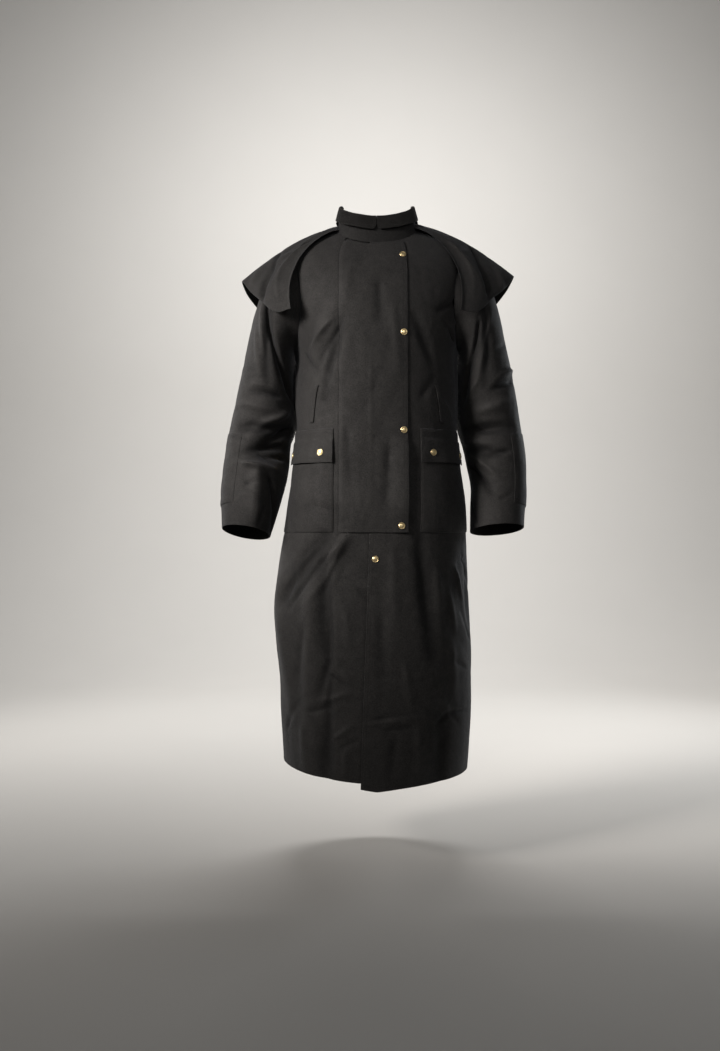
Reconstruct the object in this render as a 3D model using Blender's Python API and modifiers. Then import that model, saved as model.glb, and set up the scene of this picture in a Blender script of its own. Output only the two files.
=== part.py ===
"""Duster coat, filled out as if worn. One object for each sewn piece, in metres, +Z up.

The coat faces -Y. Its origin is the centre of the neck base, where the wearer's shoulders hold it.
Every piece is a grid of points on a surface worked out from its sizes, with a Solidify wall.
Right and left are the wearer's own: the right side is at -X.
"""

import math

import bpy
import numpy as np
from mathutils import Vector

# Cloth
WALL = 0.0018
GAP = 0.0003
LAYER = WALL + 0.0006  # from one layer's outer face to the next one's
SEAM = GAP / 2  # each panel stops this short of its seam

# The body is measured round from the front centre and down from the neck base.
SIDE = 0.27  # round to a side seam; the centre back is at twice this
TURN = 4 * SIDE
FLAT = 0.11  # this far round from the front centre, lines run straight down
PLAIN_HALF = 0.20  # half width at which the lines over the front keep their real distances
HEM = -1.225
NECK_DIP = 0.046
NECK_DIP_POWER = 4  # the dip is near the front centre
NECK_DIP_REACH = 0.20  # the dip of the front neckline fades out over this height
HEM_REACH = 0.25  # the hem's own slopes fade out over this height
HEM_DROP_LEFT = 0.017  # the left front's lapping corner hangs lower
HEM_RISE_RIGHT = 0.018  # the right front's hem rises towards the side seam

# Level, half width right and left of the centre, depth in front of and behind it,
# half width to which the front's lines are scaled, and squareness of the section.
SECTION_COLUMNS = ("level", "right", "left", "front", "back", "spread", "square")
SECTIONS = (
    (0.000, 0.086, 0.092, 0.052, 0.082, 0.090, 2.10),
    (-0.015, 0.128, 0.133, 0.064, 0.098, 0.130, 2.12),
    (-0.035, 0.170, 0.177, 0.076, 0.108, 0.168, 2.15),
    (-0.060, 0.198, 0.204, 0.091, 0.118, 0.192, 2.20),
    (-0.100, 0.211, 0.214, 0.113, 0.128, 0.200, 2.25),
    (-0.160, 0.208, 0.210, 0.132, 0.136, 0.200, 2.30),
    (-0.230, 0.192, 0.194, 0.142, 0.140, 0.200, 2.30),
    (-0.290, 0.178, 0.181, 0.146, 0.140, 0.200, 2.30),
    (-0.360, 0.182, 0.183, 0.148, 0.138, 0.200, 2.30),
    (-0.450, 0.183, 0.184, 0.149, 0.136, 0.200, 2.35),
    (-0.540, 0.187, 0.189, 0.155, 0.138, 0.200, 2.35),
    (-0.640, 0.201, 0.202, 0.166, 0.142, 0.200, 2.35),
    (-0.760, 0.221, 0.208, 0.176, 0.150, 0.200, 2.35),
    (-0.860, 0.233, 0.212, 0.182, 0.158, 0.200, 2.35),
    (-0.930, 0.229, 0.216, 0.186, 0.163, 0.200, 2.35),
    (-1.010, 0.221, 0.217, 0.188, 0.168, 0.200, 2.32),
    (-1.110, 0.217, 0.216, 0.190, 0.172, 0.200, 2.20),
    (-1.245, 0.210, 0.208, 0.190, 0.176, 0.200, 2.00),
)

# Folds of the body: round_from, level_from, round_to, level_to, half width, and height, which is
# below zero for a trough.
FOLD_ENDS = 0.35  # strength of a fold at its ends, as a part of its middle
BODY_FOLDS = (
    (-0.075, -0.225, -0.116, -0.400, 0.010, -0.007),
    (-0.100, -0.200, -0.150, -0.300, 0.014, 0.006),
    (0.082, -0.215, 0.125, -0.325, 0.011, -0.006),
    (-0.066, -0.700, -0.106, -0.745, 0.012, 0.011),
    (-0.112, -0.700, -0.205, -0.850, 0.016, -0.010),
    (-0.112, -0.760, -0.110, -0.960, 0.012, -0.007),
    (-0.108, -1.120, -0.112, -1.230, 0.014, -0.006),
    (0.090, -0.670, 0.118, -0.960, 0.014, -0.008),
    (0.135, -1.090, 0.133, -1.230, 0.014, -0.007),
    (-0.230, -0.700, -0.190, -1.080, 0.020, 0.008),
    (0.225, -0.760, 0.232, -0.900, 0.014, -0.008),
    (-0.340, -0.620, -0.350, -1.245, 0.030, 0.010),
    (-0.420, -0.560, -0.440, -1.245, 0.024, -0.004),
    (0.330, -0.640, 0.340, -1.245, 0.028, 0.009),
    (0.430, -0.540, 0.440, -1.245, 0.026, -0.004),
    (0.520, -0.500, 0.520, -1.245, 0.030, 0.009),
    (-0.390, -0.300, -0.340, -0.480, 0.018, -0.007),
    (0.400, -0.290, 0.350, -0.470, 0.018, -0.007),
)

# The front's lines, round from the centre. The left front's edge leans over below the storm flap.
FLAP_SEAM = -0.084
FLAP_EDGE = 0.066
UNDERLAP = 0.030
LEFT_EDGE_TOP = -0.0155
LEFT_EDGE_HEM = -0.035
LAP_END = 0.094  # the left front is back on the body's own surface here

# Storm flap
FLAP_TOP = -0.008
FLAP_BOTTOM = -0.690
FLAP_RAMP = 0.06  # it rises from its seam to the lapping front over this distance

# Pockets, their flaps, and the hand-warmer welts
POCKET_INNER = 0.095
POCKET_OUTER = 0.264
POCKET_TOP = -0.490
POCKET_BOTTOM = -0.690
POCKET_PUFF = 0.006
POCKET_FLAP_TOP = -0.464
POCKET_FLAP_BOTTOM = -0.538
WELT_FROM = (0.136, -0.368)
WELT_TO = (0.152, -0.448)
WELT_WIDTH = 0.012
WELT_BOW = 0.6  # below 1, a slit bows out towards the side
WELT_ROWS = 6

# The panels' own columns, round from the front centre, which the pieces on them share
RIGHT_COLUMNS = (-0.264, -0.250, -0.232, -0.208, -0.182, -0.155, -0.125, -POCKET_INNER, FLAP_SEAM)
FLAP_COLUMN = 0.048
LEFT_COLUMNS = (FLAP_COLUMN, FLAP_EDGE, POCKET_INNER, 0.125, 0.155, 0.182, 0.208, 0.232, 0.250, 0.264)
RIGHT_EDGE_COLUMN = -0.050  # between the flap's seam and the left front's edge
FRONT_COLUMN = 0.008
BACK_COLUMNS = 16
SKIRT_ROWS = 9

# Armholes: an ellipse as seen from the side
ARMHOLE_Y = 0.003
ARMHOLE_LEVEL = -0.170
ARMHOLE_DEPTH = 0.088
ARMHOLE_HEIGHT = 0.108
CUTTER_DEPTH = 0.30  # along X, from inside the body to outside the shoulder

# Sleeves, a row for each section from the armhole to the cuff: the section's outer and inner edge,
# its centre and half depth front to back, and how far its front edge tips up, in degrees.
SLEEVE_COLUMNS = (
    "outer_x", "outer_level", "inner_x", "inner_level", "centre_y", "half_depth", "tip",
)
SLEEVE_RIGHT = (
    (0.199, -0.062, 0.180, -0.278, 0.003, 0.088, 0.0),
    (0.228, -0.082, 0.187, -0.2795, 0.003, 0.088, 0.0),
    (0.250, -0.115, 0.190, -0.288, 0.003, 0.088, 0.0),
    (0.268, -0.158, 0.191, -0.306, 0.004, 0.086, 0.0),
    (0.284, -0.210, 0.1900, -0.328, 0.006, 0.083, 0.0),
    (0.298, -0.272, 0.1895, -0.360, 0.009, 0.080, 0.0),
    (0.312, -0.336, 0.1880, -0.400, 0.011, 0.077, 0.0),
    (0.325, -0.400, 0.1895, -0.445, 0.010, 0.075, 2.0),
    (0.337, -0.458, 0.196, -0.486, 0.006, 0.073, 5.0),
    (0.345, -0.518, 0.199, -0.532, -0.003, 0.070, 9.0),
    (0.350, -0.572, 0.207, -0.586, -0.018, 0.066, 13.0),
    (0.351, -0.624, 0.221, -0.640, -0.038, 0.061, 15.0),
    (0.346, -0.682, 0.238, -0.698, -0.062, 0.056, 16.0),
)
SLEEVE_LEFT = (
    (0.203, -0.062, 0.182, -0.278, 0.003, 0.088, 0.0),
    (0.232, -0.080, 0.189, -0.2795, 0.003, 0.088, 0.0),
    (0.255, -0.112, 0.192, -0.288, 0.003, 0.088, 0.0),
    (0.272, -0.155, 0.193, -0.306, 0.004, 0.086, 0.0),
    (0.287, -0.208, 0.1915, -0.328, 0.006, 0.083, 0.0),
    (0.301, -0.272, 0.1905, -0.360, 0.009, 0.080, 0.0),
    (0.315, -0.336, 0.1900, -0.400, 0.011, 0.077, 0.0),
    (0.326, -0.400, 0.1930, -0.445, 0.010, 0.075, 2.0),
    (0.334, -0.458, 0.2000, -0.488, 0.006, 0.072, 5.0),
    (0.341, -0.518, 0.2080, -0.534, -0.003, 0.068, 9.0),
    (0.341, -0.572, 0.216, -0.584, -0.016, 0.063, 12.0),
    (0.338, -0.624, 0.213, -0.634, -0.034, 0.059, 14.0),
    (0.332, -0.680, 0.211, -0.688, -0.054, 0.056, 14.0),
)
SLEEVE_GIRTH = 0.07  # mean radius, to measure a fold's distances round a sleeve
SLEEVE_LENGTH = 0.64
SLEEVE_SIDES = 16

# Sleeve folds, as above: degrees round from the outer edge by way of the front, and part of the
# length.
SLEEVE_FOLDS = (
    (150.0, 0.62, 60.0, 0.66, 0.013, -0.012),
    (170.0, 0.70, 95.0, 0.74, 0.012, -0.008),
    (120.0, 0.56, 30.0, 0.58, 0.012, 0.007),
    (60.0, 0.10, 95.0, 0.48, 0.013, -0.007),
    (-152.0, 0.22, -152.0, 0.63, 0.022, 0.013),
)

SLEEVE_ROWS = (
    0, 0.5, 1, 1.6, 2.3, 3, 4, 5, 6, 7, 7.6, 8.2, 8.8, 9.5, 10.2, 11.1, 12,
)

# Forearm patches
PATCH_FROM, PATCH_TO = 0.68, 0.93  # parts of the sleeve's length, at its rows
PATCH_FRONT, PATCH_BACK = 60.0, -126.0  # degrees round from the outer edge, at its sides
PATCH_CLEAR = 5.0  # no column of the patch is closer to its sides than this

# Cape, a row for each direction seen from above, in degrees from the front centre:
# reach and level of its hem on each side, and how fast it goes out and comes down.
CAPE_COLUMNS = (
    "azimuth", "reach_right", "reach_left", "hem_right", "hem_left", "spread", "drop",
)
CAPE = (
    (58.0, 0.226, 0.221, -0.200, -0.202, 1.8, 1.42),
    (63.0, 0.243, 0.240, -0.206, -0.206, 1.8, 1.42),
    (69.0, 0.257, 0.256, -0.192, -0.190, 1.7, 1.36),
    (75.0, 0.268, 0.270, -0.172, -0.166, 1.5, 1.20),
    (82.0, 0.287, 0.294, -0.146, -0.138, 1.2, 1.35),
    (90.0, 0.308, 0.317, -0.113, -0.102, 1.0, 1.58),
    (98.0, 0.302, 0.308, -0.138, -0.128, 1.1, 1.60),
    (108.0, 0.276, 0.280, -0.178, -0.172, 1.4, 1.50),
    (122.0, 0.246, 0.246, -0.218, -0.215, 1.7, 1.42),
    (140.0, 0.212, 0.212, -0.246, -0.246, 2.1, 1.35),
    (160.0, 0.182, 0.182, -0.262, -0.262, 2.4, 1.30),
    (180.0, 0.172, 0.172, -0.268, -0.268, 2.4, 1.25),
)
CAPE_SWEEP = 9.5  # degrees by which the front edge bows out over the shoulder
CAPE_RISE_RIGHT, CAPE_RISE_LEFT = 0.009, 0.014  # the cape's neck edge over the neckline
CAPE_OFF_STAND = 0.0009
CAPE_FILL = (115.0, 131.0, 150.0, 170.0)  # more columns, between the rows of the table

# Collar
STAND_FRONT = 0.058
STAND_BACK = 0.046
STAND_GAP = 0.0006
STAND_LEAN = 0.10  # inwards, as a part of the height
FALL_ROLL = 0.0042  # radius of the roll over the stand's top edge
FALL_SEAT = 0.0002  # the roll's centre below the stand's top edge
FALL_DEPTH = 0.027
FALL_SPREAD = 0.0070  # the fall's lower edge stands off this much more
FALL_FRONT = 0.0012  # each end stops this far round from the front centre

# Snaps
SNAP_RADIUS = 0.0072
SNAP_HEIGHT = 0.0026
SNAP_RIM = 0.35  # height of the cap's rim, as a part of its height
SNAP_SIDES = 12
SEAT_ABOVE, SEAT_SEARCH = 0.03, 0.08  # a snap's seat is looked for from this far out, this far in
FLAP_SNAPS = ((0.058, -0.045), (0.058, -0.255), (0.0575, -0.468), (0.052, -0.676))
FRONT_SNAP = (-0.004, -0.747)
POCKET_SNAPS = ((0.122, -0.516), (0.232, -0.519))

# Colours: black waxed cotton, black ribbed cotton, brass
WAXED_BLACK = (0.030, 0.028, 0.027)
RIBBED_BLACK = (0.022, 0.020, 0.019)
BRASS = (0.62, 0.47, 0.22)


def columns(table, names, at):
    """Each column of a table at the wanted values of its first one, on a smooth curve."""
    rows = np.array(table)
    knots = rows[:, 0]
    if knots[0] > knots[-1]:
        rows, knots = rows[::-1], knots[::-1]
    at = np.clip(at, knots[0], knots[-1])
    slopes = np.gradient(rows, knots, axis=0)
    low = np.clip(np.searchsorted(knots, at) - 1, 0, len(knots) - 2)
    span = knots[low + 1] - knots[low]
    t = (at - knots[low]) / span
    near, far = 1 - t, t
    weights = (
        near * near * (1 + 2 * t),
        far * far * (3 - 2 * t),
        near * near * t * span,
        -far * far * near * span,
    )
    return {
        name: weights[0] * rows[low, i]
        + weights[1] * rows[low + 1, i]
        + weights[2] * slopes[low, i]
        + weights[3] * slopes[low + 1, i]
        for i, name in enumerate(names)
    }


def smooth(value):
    """A soft step from 0 to 1."""
    value = np.clip(value, 0.0, 1.0)
    return value * value * (3 - 2 * value)


def fold_heights(table, across, along, across_scale, along_scale, turn):
    """Sum of the folds at points measured across and along a cloth: soft lines with tapered ends.

    What goes round comes back to itself after one turn, so it is measured the shorter way.
    """
    across, along = np.broadcast_arrays(across, along)
    total = np.zeros(across.shape)
    for start_a, start_b, end_a, end_b, width, height in table:
        run = np.array([(end_a - start_a) * across_scale, (end_b - start_b) * along_scale])
        off = np.mod(across - start_a + turn / 2, turn) - turn / 2
        from_start = np.stack([off * across_scale, (along - start_b) * along_scale], axis=-1)
        part = np.clip(from_start @ run / (run @ run), 0.0, 1.0)
        distance = np.linalg.norm(from_start - part[..., None] * run, axis=-1)
        taper = FOLD_ENDS + (1 - FOLD_ENDS) * np.sin(np.pi * part)
        total += height * taper * np.exp(-((distance / width) ** 2))
    return total


def body_level(around, nominal, drop):
    """Real level of a point: the front neckline dips and the hem has its own slopes."""
    from_front = np.clip(np.abs(around) / SIDE, 0, 1)
    near_neck = smooth(1 + nominal / NECK_DIP_REACH)
    level = nominal - NECK_DIP * (1 - from_front**2) ** NECK_DIP_POWER * near_neck
    near_hem = smooth(1 - (nominal - HEM) / HEM_REACH)
    lower = drop * (1 - from_front) ** 2
    higher = HEM_RISE_RIGHT * smooth(-around / SIDE) * smooth(2 + around / SIDE)
    return level + near_hem * (higher - lower)


def body_point(around, nominal, folds=BODY_FOLDS, drop=0.0):
    """Outer face of the coat's body, round from the front centre and down from the neck base."""
    around, nominal = np.broadcast_arrays(around, nominal)
    level = body_level(around, nominal, drop)
    size = columns(SECTIONS, SECTION_COLUMNS, level)
    half = np.where(around < 0, size["right"], size["left"])
    power = 2 / size["square"]
    distance = np.abs(around)
    straight = size["spread"] / PLAIN_HALF
    flat_angle = np.arcsin((FLAT * straight / half) ** (1 / power))
    front_angle = np.where(
        distance <= FLAT,
        np.arcsin((np.minimum(distance, FLAT) * straight / half) ** (1 / power)),
        flat_angle + (math.pi / 2 - flat_angle) * (distance - FLAT) / (SIDE - FLAT),
    )
    back_angle = math.pi / 2 * distance / SIDE
    angle = np.where(distance < SIDE, front_angle, back_angle)
    sine = np.clip(np.sin(angle), 0, 1) ** power
    cosine = np.abs(np.cos(angle)) ** power
    x = np.sign(around) * half * sine
    y = np.where(distance < SIDE, -size["front"], size["back"]) * cosine
    rise = fold_heights(folds, around, level, 1.0, 1.0, TURN)
    outward = np.stack([x / half**2, y / size["front"] ** 2], axis=-1)
    outward = outward / np.linalg.norm(outward, axis=-1, keepdims=True)
    return np.stack([x + rise * outward[..., 0], y + rise * outward[..., 1], level], axis=-1)


def raised(surface, across, down, out):
    """Points of a surface, moved out along its normal."""
    step = 2e-4
    along = surface(across + step, down) - surface(across - step, down)
    below = surface(across, down - step) - surface(across, down + step)
    normal = np.cross(below, along)
    normal = normal / np.linalg.norm(normal, axis=-1, keepdims=True)
    return surface(across, down) + normal * np.asarray(out)[..., None]


def left_edge(nominal):
    """The left front's edge, round from the centre: straight under the flap, leaning below it."""
    below = np.clip((FLAP_BOTTOM - nominal) / (FLAP_BOTTOM - HEM), 0, 1)
    return LEFT_EDGE_TOP + (LEFT_EDGE_HEM - LEFT_EDGE_TOP) * below


def body_rows(top=0.0, bottom=HEM):
    """Levels of the body's rows between two of them: close over the shoulders, wide in the skirt."""
    upper = (
        0.0, -0.008, -0.020, -0.036, -0.058, -0.088, -0.125, -0.165, -0.210, -0.250, -0.284,
        -0.325, -0.370, -0.417, POCKET_FLAP_TOP, POCKET_TOP, POCKET_FLAP_BOTTOM, -0.590, -0.640,
        POCKET_BOTTOM,
    )
    part = np.arange(1, SKIRT_ROWS + 1) / SKIRT_ROWS
    lower = POCKET_BOTTOM + (HEM - POCKET_BOTTOM) * part
    rows = np.concatenate([upper, lower])
    return rows[(rows <= top + SEAM) & (rows >= bottom - SEAM)][:, None]


def sleeve_point(side, around, part):
    """Outer face of a sleeve, round from its outer edge by way of the front, and along its length."""
    table = SLEEVE_RIGHT if side < 0 else SLEEVE_LEFT
    numbered = [(row / (len(table) - 1), *values) for row, values in enumerate(table)]
    around, part = np.broadcast_arrays(np.mod(np.add(around, 180.0), 360.0) - 180.0, part)
    angle = np.radians(around)
    size = columns(numbered, ("part", *SLEEVE_COLUMNS), part)
    outer = np.stack([size["outer_x"], size["centre_y"], size["outer_level"]], axis=-1)
    inner = np.stack([size["inner_x"], size["centre_y"], size["inner_level"]], axis=-1)
    tip = np.radians(size["tip"])
    to_front = np.stack([0 * tip, -np.cos(tip), np.sin(tip)], axis=-1)
    degree = math.radians(SLEEVE_GIRTH)
    rise = fold_heights(SLEEVE_FOLDS, around, part, degree, SLEEVE_LENGTH, 360.0)
    out = (outer - inner) / 2
    half = np.linalg.norm(out, axis=-1)
    out = out * (1 + rise / half)[..., None]
    front = to_front * (size["half_depth"] + rise)[..., None]
    point = (outer + inner) / 2 + out * np.cos(angle)[..., None] + front * np.sin(angle)[..., None]
    first = columns(numbered, ("part", *SLEEVE_COLUMNS), np.zeros(part.shape))
    on_ring = np.stack(
        [
            (first["outer_x"] + first["inner_x"]) / 2
            + (first["outer_x"] - first["inner_x"]) / 2 * np.cos(angle),
            first["centre_y"] - first["half_depth"] * np.sin(angle),
            (first["outer_level"] + first["inner_level"]) / 2
            + (first["outer_level"] - first["inner_level"]) / 2 * np.cos(angle),
        ],
        axis=-1,
    )
    fade = (1 - smooth(part * (len(table) - 1) / 3))[..., None]
    point = point + (armhole_point(side, around) - on_ring) * fade
    return point * np.array([side, 1.0, 1.0])


def armhole_point(side, around):
    """The sleeve's first row: the armhole's ellipse on the body, less a gap, for a sleeve at +X."""
    angle = np.radians(around)
    y = ARMHOLE_Y - (ARMHOLE_DEPTH - GAP) * np.sin(angle)
    level = ARMHOLE_LEVEL + (ARMHOLE_HEIGHT - GAP) * np.cos(angle)
    size = columns(SECTIONS, SECTION_COLUMNS, level)
    half = size["right"] if side < 0 else size["left"]
    depth = np.where(y < 0, size["front"], size["back"])
    square = size["square"]
    x = half * (1 - np.abs(y / depth) ** square) ** (1 / square)
    return np.stack([x, y, level], axis=-1)


def neckline(around):
    """The neckline that the collar stands on, and its level outward direction."""
    step = 1e-4
    level = np.zeros(np.shape(around))
    along = body_point(around + step, level, ()) - body_point(around - step, level, ())
    outward = np.stack([along[..., 1], -along[..., 0], level], axis=-1)
    outward = outward / np.linalg.norm(outward, axis=-1, keepdims=True)
    return body_point(around, level, ()), outward


def stand_point(around, part, above=0.0):
    """Outer face of the collar's stand: up from the neckline, leaning in, highest in front."""
    around, part = np.broadcast_arrays(around, part)
    base, outward = neckline(around)
    near_front = (1 - np.clip(np.abs(around) / SIDE, 0, 1) ** 2) ** 2
    height = part * (STAND_BACK + (STAND_FRONT - STAND_BACK) * near_front) + above
    up = np.array([0.0, 0.0, 1.0])
    lean = height * STAND_LEAN
    return base - outward * lean[..., None] + up * (height + STAND_GAP)[..., None]


def fall_point(around, path):
    """Outer face of the fall: from inside the stand's top edge, over it, then down outside.

    The path is a length: half a turn of the roll, then straight down.
    """
    around, path = np.broadcast_arrays(around, path)
    roll = math.pi * FALL_ROLL
    turn = np.pi * (1 - np.clip(path / roll, 0, 1))
    down = np.clip(path - roll, 0, FALL_DEPTH) / FALL_DEPTH
    middle = stand_point(around, 1.0, -FALL_SEAT)
    outward = neckline(around)[1]
    off = -WALL / 2 + FALL_ROLL * np.cos(turn) + FALL_SPREAD * down
    rise = FALL_ROLL * np.sin(turn) - FALL_DEPTH * down
    return middle + outward * off[..., None] + np.array([0.0, 0.0, 1.0]) * rise[..., None]


def cape_point(around, part):
    """Outer face of the cape: seen from above at an angle from the front, and from neck to hem."""
    around, part = np.broadcast_arrays(around, part)
    azimuth = np.abs(around)
    size = columns(CAPE, CAPE_COLUMNS, azimuth)
    reach = np.where(around < 0, size["reach_right"], size["reach_left"])
    hem = np.where(around < 0, size["hem_right"], size["hem_left"])
    near_front = smooth((CAPE[3][0] - azimuth) / (CAPE[3][0] - CAPE[0][0]))
    swept = azimuth + CAPE_SWEEP * near_front * np.sin(np.pi * part**0.8)
    angle = np.radians(swept) * np.sign(around)
    start = neck_reach(around)
    flat = start[..., 0] + (reach - start[..., 0]) * (1 - (1 - part) ** size["spread"])
    level = start[..., 1] + (hem - start[..., 1]) * part ** size["drop"]
    return np.stack([flat * np.sin(angle), -flat * np.cos(angle), level], axis=-1)


def neck_reach(around):
    """Distance from the origin's axis and level of the cape's neck edge, at an angle from above."""
    ring = np.linspace(-2 * SIDE, 2 * SIDE, 721)
    edge = neckline(ring)[0]
    azimuth = np.degrees(np.arctan2(edge[:, 0], -edge[:, 1]))
    order = np.argsort(azimuth)
    azimuth, edge = azimuth[order], edge[order]
    distance = np.hypot(edge[:, 0], edge[:, 1]) + CAPE_OFF_STAND + WALL / 4
    reach = np.interp(around, azimuth, distance)
    to_left = smooth(0.5 + np.asarray(around) / 180)
    rise = CAPE_RISE_RIGHT + (CAPE_RISE_LEFT - CAPE_RISE_RIGHT) * to_left
    level = np.interp(around, azimuth, edge[:, 2]) + rise
    return np.stack([reach, level], axis=-1)


def material(name, colour, roughness, metallic=0.0):
    made = bpy.data.materials.new(name)
    made.use_nodes = True
    shader = made.node_tree.nodes["Principled BSDF"]
    shader.inputs["Base Color"].default_value = (*colour, 1.0)
    shader.inputs["Roughness"].default_value = roughness
    shader.inputs["Metallic"].default_value = metallic
    return made


def add_object(name, mesh, collection, finish):
    made = bpy.data.objects.new(name, mesh)
    collection.objects.link(made)
    colour, roughness, metallic = finish
    mesh.materials.append(material(name, colour, roughness, metallic))
    return made


def cloth(name, points, collection, finish, closed=False):
    """A wall under a grid of points, whose rows run down and whose columns run to the coat's left."""
    rows, count = points.shape[:2]
    index = np.arange(rows * count).reshape(rows, count)
    if closed:
        index = np.concatenate([index, index[:, :1]], axis=1)
    quads = np.stack([index[:-1, :-1], index[1:, :-1], index[1:, 1:], index[:-1, 1:]], axis=-1)
    mesh = bpy.data.meshes.new(name)
    mesh.from_pydata(points.reshape(-1, 3).tolist(), [], quads.reshape(-1, 4).tolist())
    mesh.shade_smooth()
    made = add_object(name, mesh, collection, finish)
    wall = made.modifiers.new("Wall", "SOLIDIFY")
    wall.thickness = WALL
    wall.offset = -1.0
    wall.use_even_offset = True
    return made


def cut_armhole(panel, cutters, side):
    """Takes a sleeve's opening out of a panel, with an elliptic cylinder along X."""
    bpy.ops.mesh.primitive_cylinder_add(vertices=SLEEVE_SIDES, radius=1.0, depth=CUTTER_DEPTH)
    cutter = bpy.context.object
    cutter.name = f"armhole_cutter_{panel.name}_{'right' if side < 0 else 'left'}"
    for collection in list(cutter.users_collection):
        collection.objects.unlink(cutter)
    cutters.objects.link(cutter)
    cutter.scale = (ARMHOLE_HEIGHT, ARMHOLE_DEPTH, 1.0)
    cutter.rotation_euler = (0.0, math.pi / 2, 0.0)
    cutter.location = (side * SIDE, ARMHOLE_Y, ARMHOLE_LEVEL)
    cutter.hide_render = True
    cutter.display_type = "WIRE"
    opening = panel.modifiers.new("Armhole", "BOOLEAN")
    opening.operation = "DIFFERENCE"
    opening.object = cutter


def lap(around):
    """How far the left front stands out over the right one."""
    return (LAYER + GAP) * (1 - smooth((around - UNDERLAP) / (LAP_END - UNDERLAP)))


def beside(*values):
    """Columns side by side: each value is a number or a column of its own for every row."""
    rows = max(np.size(value) for value in values)
    return np.concatenate([np.broadcast_to(np.reshape(v, (-1, 1)), (rows, 1)) for v in values], 1)


def front_panels(collection, cutters, finish):
    rows = body_rows()
    edge = left_edge(rows)
    front = (FRONT_COLUMN, UNDERLAP)
    right = beside(-SIDE + SEAM, *RIGHT_COLUMNS, RIGHT_EDGE_COLUMN, edge, *front)
    left = beside(edge, *front, *LEFT_COLUMNS, SIDE - SEAM)

    def left_point(around, nominal):
        return body_point(around, nominal, drop=HEM_DROP_LEFT)

    panel = cloth("front_right", body_point(right, rows), collection, finish)
    cut_armhole(panel, cutters, -1)
    panel = cloth("front_left", raised(left_point, left, rows, lap(left)), collection, finish)
    cut_armhole(panel, cutters, 1)


def back_columns():
    """Round from the left side seam, by way of the centre back, to the right one."""
    around = np.linspace(SIDE + SEAM, 3 * SIDE - SEAM, BACK_COLUMNS + 1)
    return np.where(around > 2 * SIDE, around - 4 * SIDE, around)


def back_panel(collection, cutters, finish):
    panel = cloth("back", body_point(back_columns(), body_rows()), collection, finish)
    cut_armhole(panel, cutters, -1)
    cut_armhole(panel, cutters, 1)


def storm_flap(collection, finish):
    rows = body_rows(FLAP_TOP, FLAP_BOTTOM)
    middle = (FRONT_COLUMN, UNDERLAP, FLAP_COLUMN)
    around = beside(FLAP_SEAM, RIGHT_EDGE_COLUMN, left_edge(rows), *middle, FLAP_EDGE)
    from_seam = smooth((around - FLAP_SEAM) / FLAP_RAMP)
    over = LAYER + lap(np.maximum(around, UNDERLAP)) * from_seam
    return cloth("storm_flap", raised(body_point, around, rows, over), collection, finish)


def pocket_columns(side):
    """The panel's own columns under a pocket, in their order."""
    values = [v for v in LEFT_COLUMNS if POCKET_INNER <= v <= POCKET_OUTER]
    return np.array(values) if side > 0 else -np.array(values[::-1])


def pocket_height(around, nominal):
    """How far the pocket stands out from its panel."""
    across = (np.abs(around) - POCKET_INNER) / (POCKET_OUTER - POCKET_INNER)
    down = np.clip((POCKET_TOP - nominal) / (POCKET_TOP - POCKET_BOTTOM), 0, 1)
    return LAYER + POCKET_PUFF * np.sin(np.pi * across) * np.sin(np.pi * down)


def pocket(side, collection, finish):
    """A patch pocket and its flap. Returns the flap."""
    name = "left" if side > 0 else "right"
    around = pocket_columns(side)
    rows = body_rows(POCKET_TOP, POCKET_BOTTOM)
    out = pocket_height(around, rows)
    cloth(f"pocket_{name}", raised(body_point, around, rows, out), collection, finish)
    rows = body_rows(POCKET_FLAP_TOP, POCKET_FLAP_BOTTOM)
    out = pocket_height(around, rows) + LAYER * (rows <= POCKET_TOP)
    return cloth(f"pocket_flap_{name}", raised(body_point, around, rows, out), collection, finish)


def welt(side, collection, finish):
    """The narrow band along one edge of a hand-warmer slit."""
    name = "left" if side > 0 else "right"
    part = np.linspace(0, 1, WELT_ROWS)[:, None]
    middle = WELT_FROM[0] + (WELT_TO[0] - WELT_FROM[0]) * part**WELT_BOW
    level = WELT_FROM[1] + (WELT_TO[1] - WELT_FROM[1]) * part
    around = side * middle + WELT_WIDTH / 2 * np.array([[-1.0, 0.0, 1.0]])
    out = np.full(around.shape, LAYER)
    return cloth(f"welt_{name}", raised(body_point, around, level, out), collection, finish)


def collar(collection, waxed, ribbed):
    """The stand has the panels' own columns, so that it follows their edge."""
    sides = (*LEFT_COLUMNS, *back_columns(), *RIGHT_COLUMNS)
    panels = (FRONT_COLUMN, UNDERLAP, *sides, RIGHT_EDGE_COLUMN)
    heights = np.array([1.0, 0.66, 0.33, 0.0])[:, None]
    around = np.array([GAP, *panels, LEFT_EDGE_TOP, -GAP])
    cloth("collar_stand", stand_point(around, heights), collection, waxed)
    around = np.array([FALL_FRONT, *panels, LEFT_EDGE_TOP, -FALL_FRONT])
    roll = math.pi * FALL_ROLL
    path = np.concatenate([roll * np.arange(4) / 3, [roll + FALL_DEPTH]])
    cloth("collar_fall", fall_point(around, path[:, None]), collection, ribbed)


def cape(collection, finish):
    side = np.sort([row[0] for row in CAPE] + list(CAPE_FILL))
    around = np.concatenate([side, -side[-2::-1]])
    parts = np.array([0.0, 0.12, 0.26, 0.40, 0.54, 0.68, 0.84, 1.0])[:, None]
    cloth("cape", cape_point(around, parts), collection, finish)


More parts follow.
